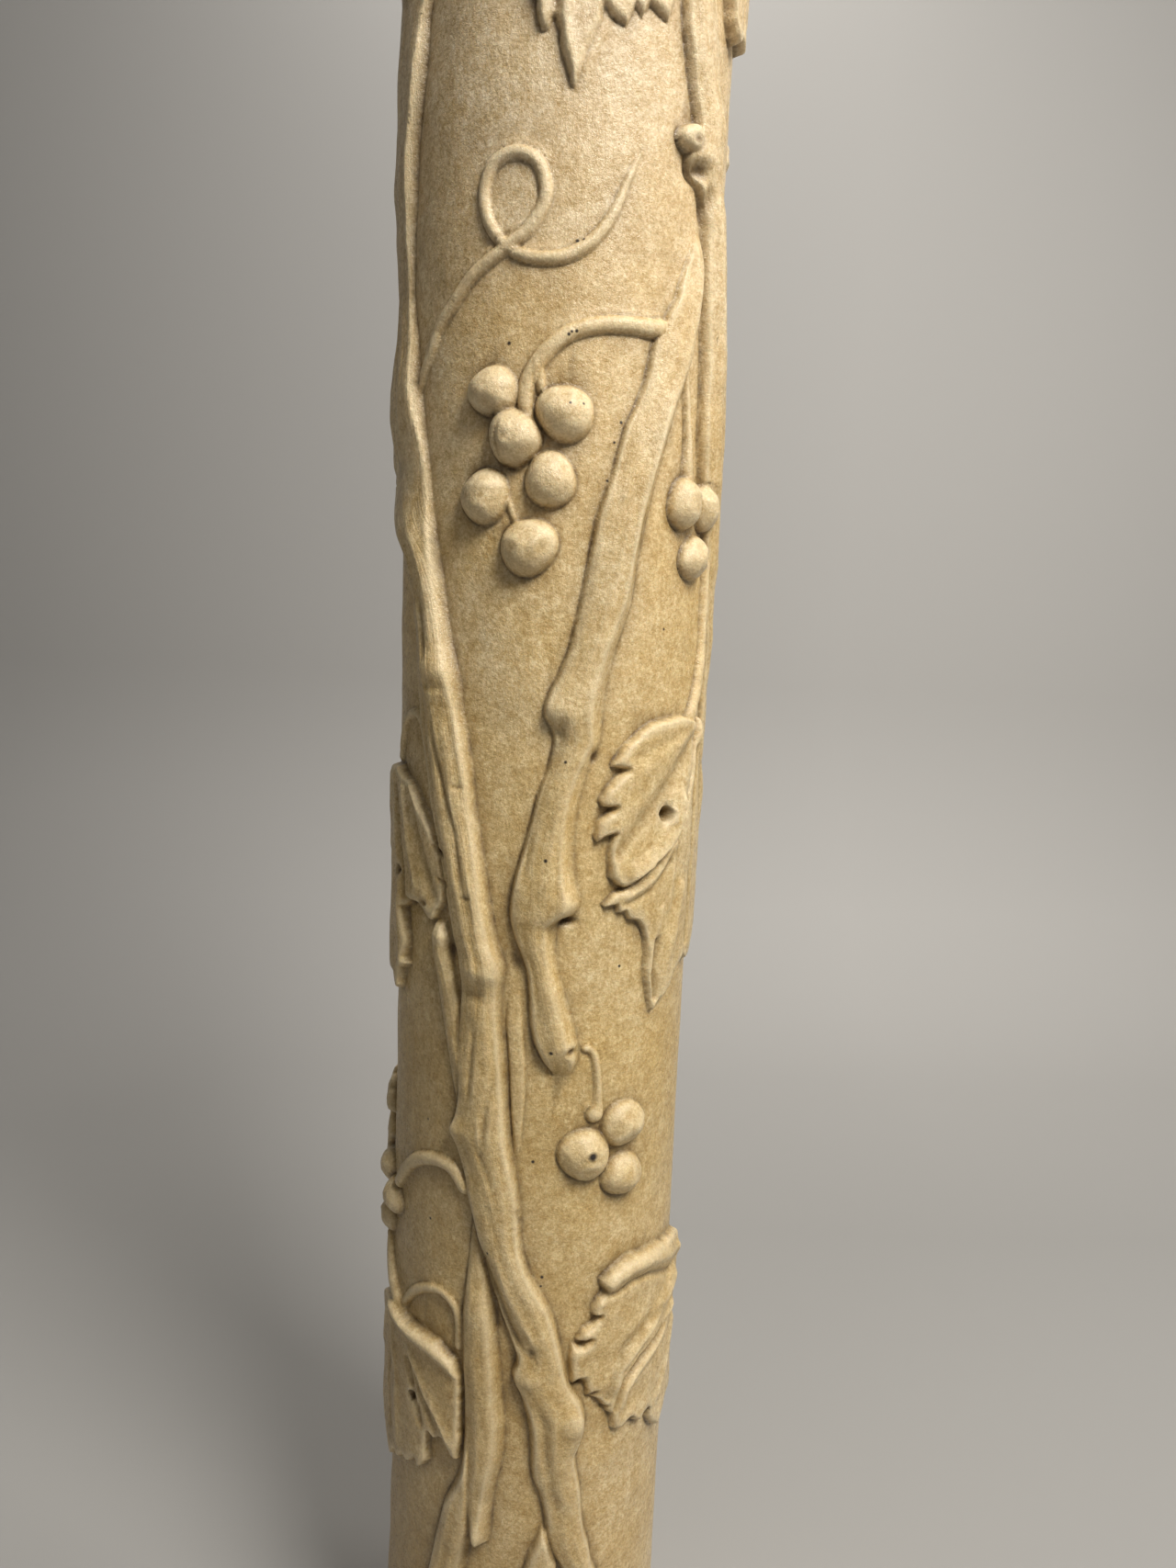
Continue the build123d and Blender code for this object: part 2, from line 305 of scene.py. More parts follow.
def grape(turn, level, radius, rise, seed, highest=ANY_HEIGHT):
    """A ball partly sunk in the ground, a little out of true."""
    grid, across, up = patch(turn, level, radius + 14, radius + 14)
    bearing = np.arctan2(up, across)
    wobble = 0.55 * np.sin(2 * bearing + seed) + 0.40 * np.sin(3 * bearing + seed * 1.7)
    sink = rise - radius
    far = np.hypot(across, up) + wobble
    foot = math.sqrt(radius ** 2 - sink ** 2) if sink < 0 else radius
    dome = sink + np.sqrt(np.clip(radius ** 2 - far ** 2, 0, None))
    # The chisel leaves shallow flats that meet in soft edges.
    flats = -1.35 * np.abs(noise(across / 7 + seed, up / 7, seed))
    flats = flats + noise(across / 3, up / 3, seed + 1) * 0.20
    form = np.maximum(dome, 0) + flats * step(radius - far, 0, 4)
    lay(grid, form, far - foot, cut=0.5, pale=1.0, highest=highest)
    # Painted shade on the lower side of each grape.
    underside_shade = np.clip(-up / radius, 0, 1) * (far < foot) * step(far, radius * 0.6, radius)
    dirt_and_shade[grid] = np.maximum(dirt_and_shade[grid], underside_shade * 0.42)


def curve(points, steps=9):
    """A smooth line through given points of level, degrees and girth."""
    line = []
    ends = [points[0]] + list(points) + [points[-1]]
    for a, b, c, d in zip(ends, ends[1:], ends[2:], ends[3:]):
        for count in range(steps):
            t = count / steps
            line.append([
                0.5 * (2 * q + (r - p) * t + (2 * p - 5 * q + 4 * r - s) * t ** 2
                       + (3 * q - p - 3 * r + s) * t ** 3)
                for p, q, r, s in zip(a, b, c, d)
            ])
    line.append(list(points[-1]))
    return np.array(line)


def tendril(points, half_width, rise):
    """A round tendril or stalk along a line."""
    line = curve(points)
    middle_level, middle_turn = line[:, 0].mean(), line[:, 1].mean()
    x = np.radians(line[:, 1] - middle_turn) * GROUND
    z = line[:, 0] - middle_level
    grid, across, up = patch(middle_turn, middle_level, np.abs(x).max() + 15, np.abs(z).max() + 15)
    best = np.full(np.broadcast(across, up).shape, 1e9)
    girth = np.ones_like(best)
    for index in range(len(x) - 1):
        dx, dz = x[index + 1] - x[index], z[index + 1] - z[index]
        along = np.clip(((across - x[index]) * dx + (up - z[index]) * dz) / (dx * dx + dz * dz + 1e-9), 0, 1)
        size = line[index, 2] + along * (line[index + 1, 2] - line[index, 2])
        outside = np.hypot(across - x[index] - along * dx, up - z[index] - along * dz) - half_width * size
        nearer = outside < best
        best = np.where(nearer, outside, best)
        girth = np.where(nearer, size, girth)
    radius = (half_width ** 2 + rise ** 2) / (2 * rise)
    share = np.clip((best + half_width * girth) / girth, 0, radius * 0.999)
    form = girth * (rise - radius + np.sqrt(radius ** 2 - share ** 2))
    form = form + noise(across / 5, up / 5, 77) * 0.22
    # Its upper side runs softly into the ground; the lower side is cut clean.
    above = step(np.gradient(best, axis=0) / LEVEL_STEP, -0.1, 0.8) * girth * (relief[grid] < 2.5)
    lay(grid, form, best, cut=TENDRIL_CUT, foot_dirt_and_shade=0.5, highest=2.6)
    relief[grid] = relief[grid] + 0.8 * np.exp(-(np.maximum(best, 0) / 2.2) ** 2) * (best > 0) * above


def inside_distance(points, across, up):
    """How far inside a closed outline each place lies; less than 0 is outside."""
    best = np.full(np.broadcast(across, up).shape, 1e9)
    odd = np.zeros(best.shape, dtype=bool)
    for (x0, z0), (x1, z1) in zip(points, points[1:] + points[:1]):
        dx, dz = x1 - x0, z1 - z0
        along = np.clip(((across - x0) * dx + (up - z0) * dz) / (dx * dx + dz * dz + 1e-9), 0, 1)
        best = np.minimum(best, np.hypot(across - x0 - along * dx, up - z0 - along * dz))
        if dz:
            odd ^= ((z0 > up) != (z1 > up)) & (across < dx * (up - z0) / dz + x0)
    return np.where(odd, best, -best)


def line_distance(points, across, up):
    """The distance from a run of points, the share of the way along it, and on which side of it."""
    best = np.full(np.broadcast(across, up).shape, 1e9)
    way = np.zeros(best.shape)
    side = np.ones(best.shape)
    lengths = [math.dist(a, b) for a, b in zip(points, points[1:])]
    done, total = 0.0, sum(lengths)
    for (x0, z0), (x1, z1), length in zip(points, points[1:], lengths):
        dx, dz = x1 - x0, z1 - z0
        along = np.clip(((across - x0) * dx + (up - z0) * dz) / (length * length), 0, 1)
        far = np.hypot(across - x0 - along * dx, up - z0 - along * dz)
        way = np.where(far < best, (done + along * length) / total, way)
        turned = np.where((across - x0) * dz - (up - z0) * dx > 0, 1.0, -1.0)
        side = np.where(far < best, turned, side)
        best = np.minimum(best, far)
        done += length
    return best, way, side


def leaf(outline, rise, ribs=(), folds=(), furrows=(), edge=2.2, seed=0, sag=0.0):
    """A carved leaf: its outline, and round ribs, sharp folds and furrows as lists of degrees and level."""
    middle = middle_of(outline)
    shape = unrolled(outline, middle)
    grid, across, up = patch_round(shape, middle, 15)
    wave = noise(across / 5.5, up / 5.5, seed + 40) * 0.55 + noise(across / 2.4, up / 2.4, seed + 41) * 0.30
    inside = inside_distance(shape, across, up) + wave
    share = np.clip(inside / edge, 0, 1)
    form = rise * (1 - (1 - share) ** 2.6)
    form = form - sag * step(inside, 3, 16)
    for points, width, lift in ribs:
        far, way, side = line_distance(unrolled(points, middle), across, up)
        form = form + lift * np.exp(-(far / width) ** 2) * (1 - 0.5 * way) * share
    for points, left, right, lift in folds:
        far, way, side = line_distance(unrolled(points, middle), across, up)
        fall = np.clip(1 - far / np.where(side > 0, right, left), 0, 1)
        form = form + lift * fall * step(1 - way, 0, 0.15) * share
    for points, width, depth in furrows:
        far, way, side = line_distance(unrolled(points, middle), across, up)
        form = form - depth * np.exp(-(far / width) ** 2) * share
    form = form + noise(across / 14, up / 14, seed) * 0.5 * share
    form = form + noise(across / 4, up / 9, seed + 1) * 0.14 * share
    lay(grid, form, -inside, cut=0.35, foot_dirt_and_shade=0.8)
    # Dirt and painted shade darken the furrows.
    for points, width, depth in furrows:
        far, way, side = line_distance(unrolled(points, middle), across, up)
        soft = np.exp(-(far / width) ** 2) * (inside > 0) * min(depth, 1.0) * 0.30
        dirt_and_shade[grid] = np.maximum(dirt_and_shade[grid], soft)


def eye(turn, level, radius, depth):
    """A drilled hole, its mouth a little worn."""
    grid, across, up = patch(turn, level, radius + 5, radius + 5)
    far = np.hypot(across, up)
    hole = step(-far, -radius - 0.5, -radius + 1.1)
    relief[grid] = relief[grid] * (1 - hole) + np.minimum(relief[grid], -depth) * hole
    # Dirt and painted shade darken the hole and its mouth.
    dirt_and_shade[grid] = np.maximum(dirt_and_shade[grid], step(-far, -radius - 1.5, -radius + 1.0))


# Stems: level, left and right edge in degrees, and rise.
LEFT_STEM = (
    (985, -90, -38, 5.5), (950, -92, -43, 5.6), (915, -94, -52, 5.6), (900, -95, -56, 6), (880, -95, -58, 7),
    (860, -95, -61, 6.6), (842, -96, -64, 7.2), (820, -96, -65.5, 6.2), (800, -96, -66, 4.6),
    (782, -95, -65.5, 3.8), (763, -94, -61.5, 5.2), (740, -93, -58, 7.2), (725, -93, -55.5, 7.6),
    (712, -91, -53, 6.2), (700, -90, -51, 5.6), (690, -89, -49.5, 5.6), (680, -85, -48, 6.6),
    (670, -76, -46, 8), (660, -66, -44, 8), (650, -61, -42, 8), (640, -57, -40.5, 8), (620, -54, -37, 8.4),
    (606, -53, -33.5, 9.6), (598, -52.2, -32.3, 9.2), (590, -51.5, -31.8, 7.6), (580, -51, -30, 7.6),
    (560, -47, -27, 7.8), (540, -44, -25, 7.8), (520, -40, -21.5, 8), (500, -36.5, -19, 8),
    (480, -33, -16, 8.2), (469, -30.5, -12.8, 9.2), (462, -29.5, -12.4, 9.4), (457, -29, -13.5, 7),
    (440, -29.5, -13.5, 6.6), (430, -30, -12.6, 6.8), (415, -30, -11.5, 7), (400, -29.5, -10.5, 7.2),
    (386, -31, -9.3, 8), (380, -33, -9, 8.4), (372, -30, -8.3, 7.6), (355, -25.5, -5.4, 7.4),
    (350, -25.2, -4.8, 7.4), (340, -23.1, -3.6, 7.4), (330, -21.1, -3.7, 7.5), (320, -19.2, -2.6, 7.6),
    (310, -17.1, -0.3, 7.6), (300, -14.5, 3.7, 7.8), (290, -11.8, 8, 8), (280, -9, 10.3, 8),
    (270, -6.4, 12, 8), (264, -4.4, 13.1, 8), (259, -4.5, 14, 8), (255, -6.1, 14.5, 8), (250, -5.5, 15.5, 8),
    (243, -2.8, 17.9, 8.2), (236, -1.1, 21.2, 8.8), (228, 0.5, 22.9, 9.4), (220, 1.5, 23.1, 9.2),
    (213, 1.8, 21.7, 8.4), (206, 2, 19.4, 7.8), (200, 2.1, 19.9, 7.6), (192, 3.3, 21, 7.4),
    (185, 5.7, 22.1, 7.4), (177, 7.1, 22.6, 7.4), (170, 8.1, 23.2, 7.4), (160, 8.9, 24.7, 7.4),
    (150, 11, 27.1, 7.4), (140, 15.2, 28.4, 7.4), (130, 17.5, 31.5, 7.2), (100, 23, 38, 7), (60, 30, 46, 7),
    (20, 33, 49, 7),
)
MIDDLE_STEM = (
    (809, 48.5, 52, 2.5), (797, 44, 53.8, 4.5), (787, 41, 54, 5.6), (779, 39.4, 53.4, 6.2),
    (770, 35.5, 52.4, 6.8), (757, 31.2, 50, 7.2), (749, 30.2, 48.5, 7.4), (740, 28.4, 46, 7.6),
    (730, 25.5, 43.2, 7.8), (720, 21.8, 40.5, 8), (700, 18, 36, 8), (680, 13, 32, 8), (660, 10.8, 29.5, 8),
    (640, 8.5, 27.5, 8), (620, 5.5, 22.5, 8.2), (606, 1.5, 20.2, 8.6), (600, -0.8, 19.5, 9.2),
    (592, -2.6, 18.6, 9.2), (587.5, -2.2, 18.4, 8.8), (583, 0.2, 18.3, 7.8), (577, 1.4, 18.1, 7.2),
    (571, 0.6, 16.2, 7.3), (563, -0.8, 14, 7.4), (550, -4, 11.5, 7.6), (540, -5.5, 10.5, 7.8),
    (525, -8, 10, 8.2), (510, -11, 11.5, 9), (500, -12, 13.4, 9.6), (495, -12, 12.4, 9.4),
    (491.5, -11.8, 8.4, 8.6), (488.5, -11.4, 5.2, 7), (475, -8, 5, 6.2), (465, -5, 6.5, 6.4),
    (450, -4, 10, 7.2), (440, -3.5, 12.5, 7.8), (430, -2, 14.5, 8.2), (420, 1.5, 15, 8), (413, 6, 12, 6),
)
RIGHT_STEM = (
    (985, 33, 46, 6), (940, 35.5, 50, 6.5), (901, 36.8, 52, 6.8), (890, 37.8, 54, 6.8), (874, 40.6, 56, 6.8),
    (863, 43, 60, 7), (855, 44.6, 61, 7.6), (848, 43.5, 61, 7.8), (841, 40.6, 62, 7.6), (836, 41.8, 62, 7),
    (833, 43.6, 63, 6.6), (828.5, 48, 64, 6.4), (822, 50.6, 66, 6.6), (814, 52.2, 67, 6.8),
    (800, 53.6, 70, 6.8), (780, 55, 74, 7), (760, 57, 76, 7.2), (720, 58.5, 83, 7.2), (700, 61.5, 86, 6.6),
    (650, 75, 95, 5.8), (600, 86, 103, 5.8), (560, 91, 108, 6.6), (543, 92, 110, 8.6), (530, 92, 110, 7.6),
    (450, 103, 121, 8), (350, 121, 139, 8), (278, 128, 147, 9.2), (262, 127, 146, 7.8), (180, 121, 139, 8),
    (90, 109, 127, 7.6), (15, 103, 121, 7.4),
)
LOWER_STEM = (
    (340, -22.4, -20.8, 0.3), (325, -23.2, -19, 0.9), (315, -23.8, -17.2, 1.8), (302, -24.7, -15.2, 3.4),
    (292, -25.4, -13.8, 5.4), (282, -26.1, -12.5, 6.5), (270, -26.3, -11.4, 7), (255, -25.5, -10, 7.2),
    (240, -24.4, -8.9, 7.4), (225, -24.1, -7.8, 7.6), (210, -24, -7.8, 7.6), (200, -24, -8.6, 7.6),
    (190, -24, -10.2, 7.4), (180, -23.6, -11.6, 7.2), (172, -22.8, -11.8, 7.6), (164, -21.6, -12, 8.2),
    (158, -20.6, -12.1, 8), (154.5, -20.2, -12.4, 6.8),
)
FORKED_STEM = (
    (222, -23.6, -18, 3), (210, -24.2, -18, 6), (195, -25, -18, 7.2), (185, -27.4, -17.9, 7.2),
    (178, -29.8, -17.8, 7), (170, -32.2, -17.8, 6.8), (160, -33.8, -18.4, 6.6), (150, -35.5, -19.9, 6.6),
    (140, -36.7, -21.1, 6.8), (130, -38, -22.5, 7), (80, -46, -30, 7), (15, -52, -36, 7),
)
FOOT_FORK = (
    (165, 7.2, 9.8, 3), (158, 5.4, 11, 6.4), (150, 2.6, 13, 6.6), (142, 1.4, 14.6, 6.6), (130, -1, 12, 6.4),
    (110, -6, 6, 6), (60, -14.5, -2.5, 5.5), (15, -17, -5, 5),
)
LOPPED_STEM = (
    (485, -41, -37, 3.6), (478, -43.2, -34, 5.6), (468, -43.5, -33.5, 5.2), (460, -41.5, -32, 4),
    (450, -39.5, -30, 4), (425, -35.5, -26, 4), (395, -31, -23, 3),
)
LOW_STRIP = (
    (455, -11, -7, 0.5), (440, -12, -6, 1.8), (420, -10.5, -4.5, 2), (400, -9.5, -4, 2),
    (385, -8.5, -4.5, 1.5), (372, -7.5, -5.5, 0.5),
)
# The round cut beside the upper bunch, as degrees and level.
GRAPE_ARC = ((-18, 721), (-20.2, 714), (-19.4, 706), (-16.7, 700), (-12.5, 698))
# The unseen side, as level, degrees and girth.
BACK_STEM = (
    (985, 150, 0.85), (900, 161, 0.9), (830, 178, 0.95), (815, 181, 1.15), (740, 190, 1), (640, 214, 0.95),
    (560, 224, 1.15), (460, 222, 1), (360, 206, 0.95), (270, 194, 1.12), (180, 200, 1), (90, 216, 1),
    (15, 222, 1),
)
BACK_BRANCH = (
    (700, 201, 0.5), (660, 186, 0.62), (620, 170, 0.8), (560, 158, 0.72), (510, 152, 0.62), (470, 152, 0.45),
)
STEM_HALF_WIDTH = 12.5
STEM_RISE = 8.0

# Tendrils and stalks: level, degrees and girth.
CURLED_TENDRIL = (
    (733, -60, 0.6), (745, -55.3, 0.85), (753.5, -50.8, 0.95), (764, -46.2, 1), (772, -40, 1),
    (782, -32.9, 1), (790, -24.5, 1), (794.7, -19.1, 1), (801.5, -12.2, 1), (811, -7.8, 1), (819, -7.1, 1),
    (828, -9.4, 1), (832, -13.6, 1), (833, -18, 1), (830.3, -23.3, 1), (825, -26.7, 1), (816, -28.1, 1),
    (807.3, -26.7, 1), (799.8, -23.6, 1), (793.6, -18.6, 0.95), (790, -11.9, 1), (789.5, -3.7, 1),
    (792.7, 3.5, 1), (799.2, 9.6, 0.95), (809.4, 14.9, 0.8), (822, 18.8, 0.6), (830, 21.5, 0.4),
    (838, 24.6, 0.15),
)
BUNCH_STALK = (
    (765, 36.5, 0.9), (764.6, 33.5, 1.2), (764.2, 30, 1.15), (764.2, 24.8, 1.05), (763.7, 16.3, 1),
    (761.9, 8.8, 1), (758.2, 1.7, 1), (752.7, -3.6, 1), (747.2, -7.1, 1), (738, -10.9, 1),
    (730, -11.8, 0.95), (721, -11, 0.9),
)
SHORT_STALK = ((745, -7.5, 0.7), (735, -6.5, 0.7), (730, -4, 0.6))
LINK_STALK = ((689, -18, 0.7), (680, -15, 0.6), (670, -12, 0.7))
RIGHT_BUNCH_STALK = ((752, 47.5, 0.5), (738, 49, 0.6), (718, 50.8, 0.8), (700, 51.5, 1.2))
LOW_BUNCH_STALK = (
    (426, 17.2, 1), (424.8, 19.4, 1), (420.5, 21, 1), (411, 22.3, 0.95), (402, 22.9, 1), (395.5, 22.6, 1.4),
    (391.5, 21.6, 2.1),
)
LEFT_BUNCH_STALK = (
    (350, -26, 1.1), (358, -32, 1), (359, -40, 1), (354, -50, 1), (345, -58, 1), (332, -66, 1),
)
LEFT_LEAF_STALK = (
    (262, -27, 0.8), (280, -28, 0.8), (288, -35, 0.8), (286, -43, 0.8), (277, -53, 0.8), (262, -61, 0.8),
)
LEFT_LOOP = ((570, -50, 0.6), (582, -54, 0.75), (584, -60, 0.75), (577, -68, 0.8), (560, -72, 0.9))
# Grapes: degrees, level, radius and rise.
GRAPES = (
    (-23, 733, 12.3, 9.2), (1.5, 724, 13.5, 10), (-15, 713, 13, 10.4), (-2.5, 695, 12.7, 9.4),
    (-25, 687, 13, 9.6), (-9, 665, 13.8, 10.4), (33.9, 383.6, 13.4, 9.6), (34.6, 356, 13, 9),
    (18.4, 370.4, 14.6, 10.2), (66.1, 689, 11.7, 9), (50.6, 689, 12.5, 9.4), (58, 664, 11.4, 8.6),
    (-84.3, 330, 11, 8.4), (-71, 320, 11, 8.2), (-80, 304, 10.4, 8), (180.4, 572, 12.7, 9.4),
    (198.9, 574, 12.2, 9), (190, 553, 13, 9.6), (191.5, 527, 12.5, 9.2), (157.1, 245, 12.5, 9.2),
    (175.6, 247, 12, 8.8), (166.7, 224, 13, 9.6), (108.6, 868, 12.4, 9.1), (125.6, 862, 12.7, 9.4),
    (115.3, 842, 12, 8.8),
)

# Swellings and hollows: degrees, level, half width, half height and lift.
KNOTS = (
    (-40, 607, 9, 4, 1.1), (-24, 465, 9, 4, 1.2), (-31, 382, 5, 6, 1.4), (8.5, 500, 6, 6, 2.2),
    (-0.5, 593, 5, 6, 1.5), (19, 226, 7, 8, 2), (0, 252, 4.5, 5, 1.8), (-36, 477, 5, 4, 1.4),
    (8.4, 490.5, 4, 2, -4.2), (42.8, 846.4, 2.6, 2.2, -1.7), (46.2, 835, 5.4, 4.2, -5.4),
    (52, 824, 2.6, 7, -2.6), (-8.5, 471, 4, 6, -1.6), (-22, 452, 8, 3, -0.9), (-17, 162, 4.5, 5, 1.4),
    (10.9, 426, 2.4, 1.7, -2.6), (10.5, 429.5, 3.5, 2, 0.7), (-30.7, 552.5, 2.2, 1.4, -1.1),
    (-25.8, 499.8, 2, 1.3, -1), (15.3, 570, 2.6, 3.2, -1.5), (1.2, 267.5, 2.6, 3.6, -1.8),
    (-34, 473, 3, 4.5, -1), (16.4, 227, 4.8, 5, 2.2), (-16.5, 160, 4, 4.5, 1.6),
)
# Cuts along lines of degrees and level, with width, depth and the share of dirt and painted shade. A crest
# has a depth below 0.
CREASES = (
    (((3.2, 592), (4.4, 586), (3.6, 579), (2.2, 572), (0.6, 565), (-1, 556)), 2, 1.2, 0.15),
    (((-1, 589), (1.5, 584), (3.2, 578)), 1.6, 1.4, 0.35),
    (((-45, 601), (-41, 598.5), (-36, 600)), 2.6, 1, 0.15),
    (((-43.7, 590), (-40, 570), (-35.4, 550), (-30.8, 531), (-28.5, 512), (-26, 492)), 1.5, 1.1, 0.4),
    (((-49, 640), (-46, 622), (-44.5, 610)), 1.6, 1, 0.3),
    (((-36, 590), (-32, 566), (-28.5, 545)), 1.4, 0.8, 0.3),
    (((-20, 327), (-14.3, 306.5), (-9.5, 290.8), (-4.8, 276), (-0.1, 265)), 2.2, 2.2, 0.6),
    (((-13, 320), (-8, 300), (-2, 283), (3.5, 270)), 1.8, -0.9, 0),
    (((2.1, 242), (6.9, 227.3), (7.3, 212.6), (10.5, 190), (14.8, 168)), 2.6, 1.5, 0.25),
    (((19.5, 208), (21.1, 186.6), (24.8, 162)), 2.2, -0.9, 0),
    (((38.4, 745.5), (32.5, 712.8), (26.8, 684.8), (24.3, 650), (20, 625)), 1.6, -1, 0),
    (((41, 742), (36.2, 712), (30.6, 684), (27.8, 650)), 1.5, 0.8, 0.35),
    (((29.9, 752), (21.3, 715.8), (15.5, 683.8), (12.6, 643.6), (8, 620)), 2, -0.6, 0),
    (((0, 560), (-3.5, 540), (-6, 522), (-7, 508)), 1.6, 0.9, 0.2),
    (((-14, 420), (-17, 395), (-18.5, 372), (-14, 350)), 1.5, 0.9, 0.3),
    (((-22, 440), (-23.5, 415), (-24, 395)), 1.4, 0.9, 0.3),
    (((-21, 400), (-19, 380), (-16, 355), (-11, 330)), 1.4, -0.7, 0),
    (((-6, 345), (-5.4, 340), (-3.6, 334)), 1.2, 0.8, 0.6),
    (((-12, 296), (-12.3, 285), (-11.5, 275)), 1.6, 0.7, 0.3),
)
# Old dirt: degrees, level, half width, half height and strength.
STAINS = (
    (-36, 682, 4, 9, 0.55), (-36, 672, 3, 5, 0.5), (-47, 790, 3, 9, 0.4), (-36, 799, 3, 6, 0.3),
    (-34, 843, 9, 12, 0.22), (-6.5, 842, 8, 7, 0.24), (-39, 893, 14, 10, 0.35), (-13, 889, 8, 8, 0.35),
    (-12.5, 505, 5, 14, 0.6), (-10.5, 478, 4, 18, 0.5), (-20, 560, 14, 10, 0.2), (-12, 590, 8, 18, 0.14),
    (-60, 801, 5, 7, 0.5), (29, 800, 12, 6, 0.16), (18.6, 372, 3.6, 2.8, 0.65), (14, 452, 16, 6, 0.22),
    (20.5, 692, 1.6, 12, 0.45), (27, 476, 9, 6, 0.18), (-2, 300, 8, 12, 0.16), (-48, 420, 16, 30, 0.16),
    (-50, 370, 12, 20, 0.14), (32, 215, 4, 4, 0.25), (-58, 600, 10, 20, 0.2), (4, 640, 16, 12, 0.12),
)


def from_girth(table):
    """Rows of edges and rise from rows of level, degrees and girth."""
    half = degrees(STEM_HALF_WIDTH)
    return [
        (level, turn - half * girth, turn + half * girth, STEM_RISE * girth) for level, turn, girth in table
    ]


def collar_form(from_end):
    """How far the plain collars stand out, by the distance from the nearer end."""
    return COLLAR_RISE * (1 - step(from_end, COLLAR_HEIGHT, COLLAR_HEIGHT + COLLAR_BEVEL))


def collar_wear(turn, level):
    return noise(turn / 360 * 40, level / 9, 4, wrap=40) * 0.12 - 0.15


def carve_ground():
    """The drum: collars at the ends, and ground between them that still shows the chisel."""
    turn, level = turns[None, :], levels[:, None]
    waves = noise(turn / 360 * 8, level / 75, 1, wrap=8) * 0.55
    waves = waves + noise(turn / 360 * 22, level / 26, 2, wrap=22) * 0.30
    waves = waves + noise(turn / 360 * 60, level / 11, 3, wrap=60) * 0.13
    from_end = np.minimum(level, HEIGHT - level)
    collar = collar_form(from_end)
    worn = collar_wear(turn, level)
    relief[:] = np.where(from_end < COLLAR_HEIGHT + 1, collar + worn * (collar > 5), collar + waves)


def carve_stems():
    stem(from_girth(BACK_STEM), 61)
    stem(from_girth(BACK_BRANCH), 71, foot_slope=0.5, head_slope=0.3)
    stem(RIGHT_STEM, 21, grain=0.45)
    stem(LOW_STRIP, 31, grain=0.25, foot_slope=0.1, head_slope=0.1)
    stem(FOOT_FORK, 33, grain=0.3, head_slope=0.8)
    stem(FORKED_STEM, 35, grain=0.25, head_slope=0.3, walls=(1.6, 1.6))
    stem(LOWER_STEM, 37, grain=0.22, foot_slope=2.6, head_slope=0.12, walls=(1.5, 1.5), highest=4.0)
    stem(LOPPED_STEM, 39, grain=0.4, foot_slope=0.2, head_slope=1.6)
    stem(LEFT_STEM, 11, grain=0.75, lean=0.1, smooth_below=470)
    stem(MIDDLE_STEM, 51, grain=0.38, foot_slope=0.55, head_slope=0.4, lean=0.18, walls=(2.3, 1.1))
    worn_smooth(((49.5, 812), (46.6, 804), (43, 795), (40.4, 786), (38.6, 778), (34.5, 769)), 3.4, 1.6)
    grape(42.3, 847.4, 6.6, 8.6, seed=23, highest=3.0)
    for place in KNOTS:
        knot(*place)
    for line in CREASES:
        crease(*line)


def carve_tendrils():
    tendril(CURLED_TENDRIL, 3.2, 2.7)
    crease(((-24.6, 796.2), (-20.4, 799.2), (-18.6, 800.6)), 0.8, 0.9, 0.4)
    crease(((-18.6, 790.8), (-15.6, 793.2), (-13.6, 795)), 0.8, 0.9, 0.4)
    tendril(BUNCH_STALK, 3.9, 3.2)
    tendril(SHORT_STALK, 3.4, 2.8)
    tendril(LINK_STALK, 3.0, 2.6)
    tendril(RIGHT_BUNCH_STALK, 3.0, 3.0)
    tendril(LOW_BUNCH_STALK, 2.3, 2.0)
    tendril(LEFT_BUNCH_STALK, 4.0, 3.6)
    tendril(LEFT_LEAF_STALK, 3.6, 3.0)
    tendril(LEFT_LOOP, 3.4, 2.6)


# Leaves. Runs are of degrees and level; ribs have width and lift, folds the width on the left and on the
# right and lift, and furrows width and depth.
RIGHT_LEAF_UNDER = dict(
    outline=[
        (60, 540), (45, 525), (36, 512), (29, 506), (24, 502.5), (20.6, 498), (22, 496.5), (25.6, 497.4),
        (26.4, 493.4), (29.6, 493.4), (31.5, 489.6), (35, 488.4), (37.4, 485.2), (39.3, 478.8), (40.6, 470),
        (40, 462), (42, 452), (44.2, 438.5), (46, 442), (48.4, 444.6), (53.8, 448.6), (57.3, 455.9),
        (61.6, 459), (64, 462), (68, 458), (74, 462), (84, 474), (92, 490), (98, 505), (100, 525), (97, 548),
        (90, 565), (80, 580), (70, 587),
    ],
    rise=4, seed=3,
    ribs=[
        ([(58, 575), (55, 548), (52.5, 520), (50.5, 492)], 1.5, 1.3),
        ([(70, 580), (84, 540), (94, 510)], 2.6, 1.2), ([(58, 500), (54, 478), (50, 458)], 4, 2.2),
    ],
    folds=[
        ([(51, 524), (41, 509), (27, 499)], 4, 3, 1.5), ([(46, 492), (42.4, 474), (42, 458)], 5, 2.6, 1.2),
    ],
    furrows=[
        ([(69, 570), (67, 520), (66, 470)], 2.2, 1.2), ([(50, 516), (40, 503), (30, 498)], 1.8, 0.9),
        ([(45, 476), (44.2, 462), (45.4, 447)], 2.2, 2.6), ([(76, 560), (84, 500)], 2.6, 1),
    ],
)
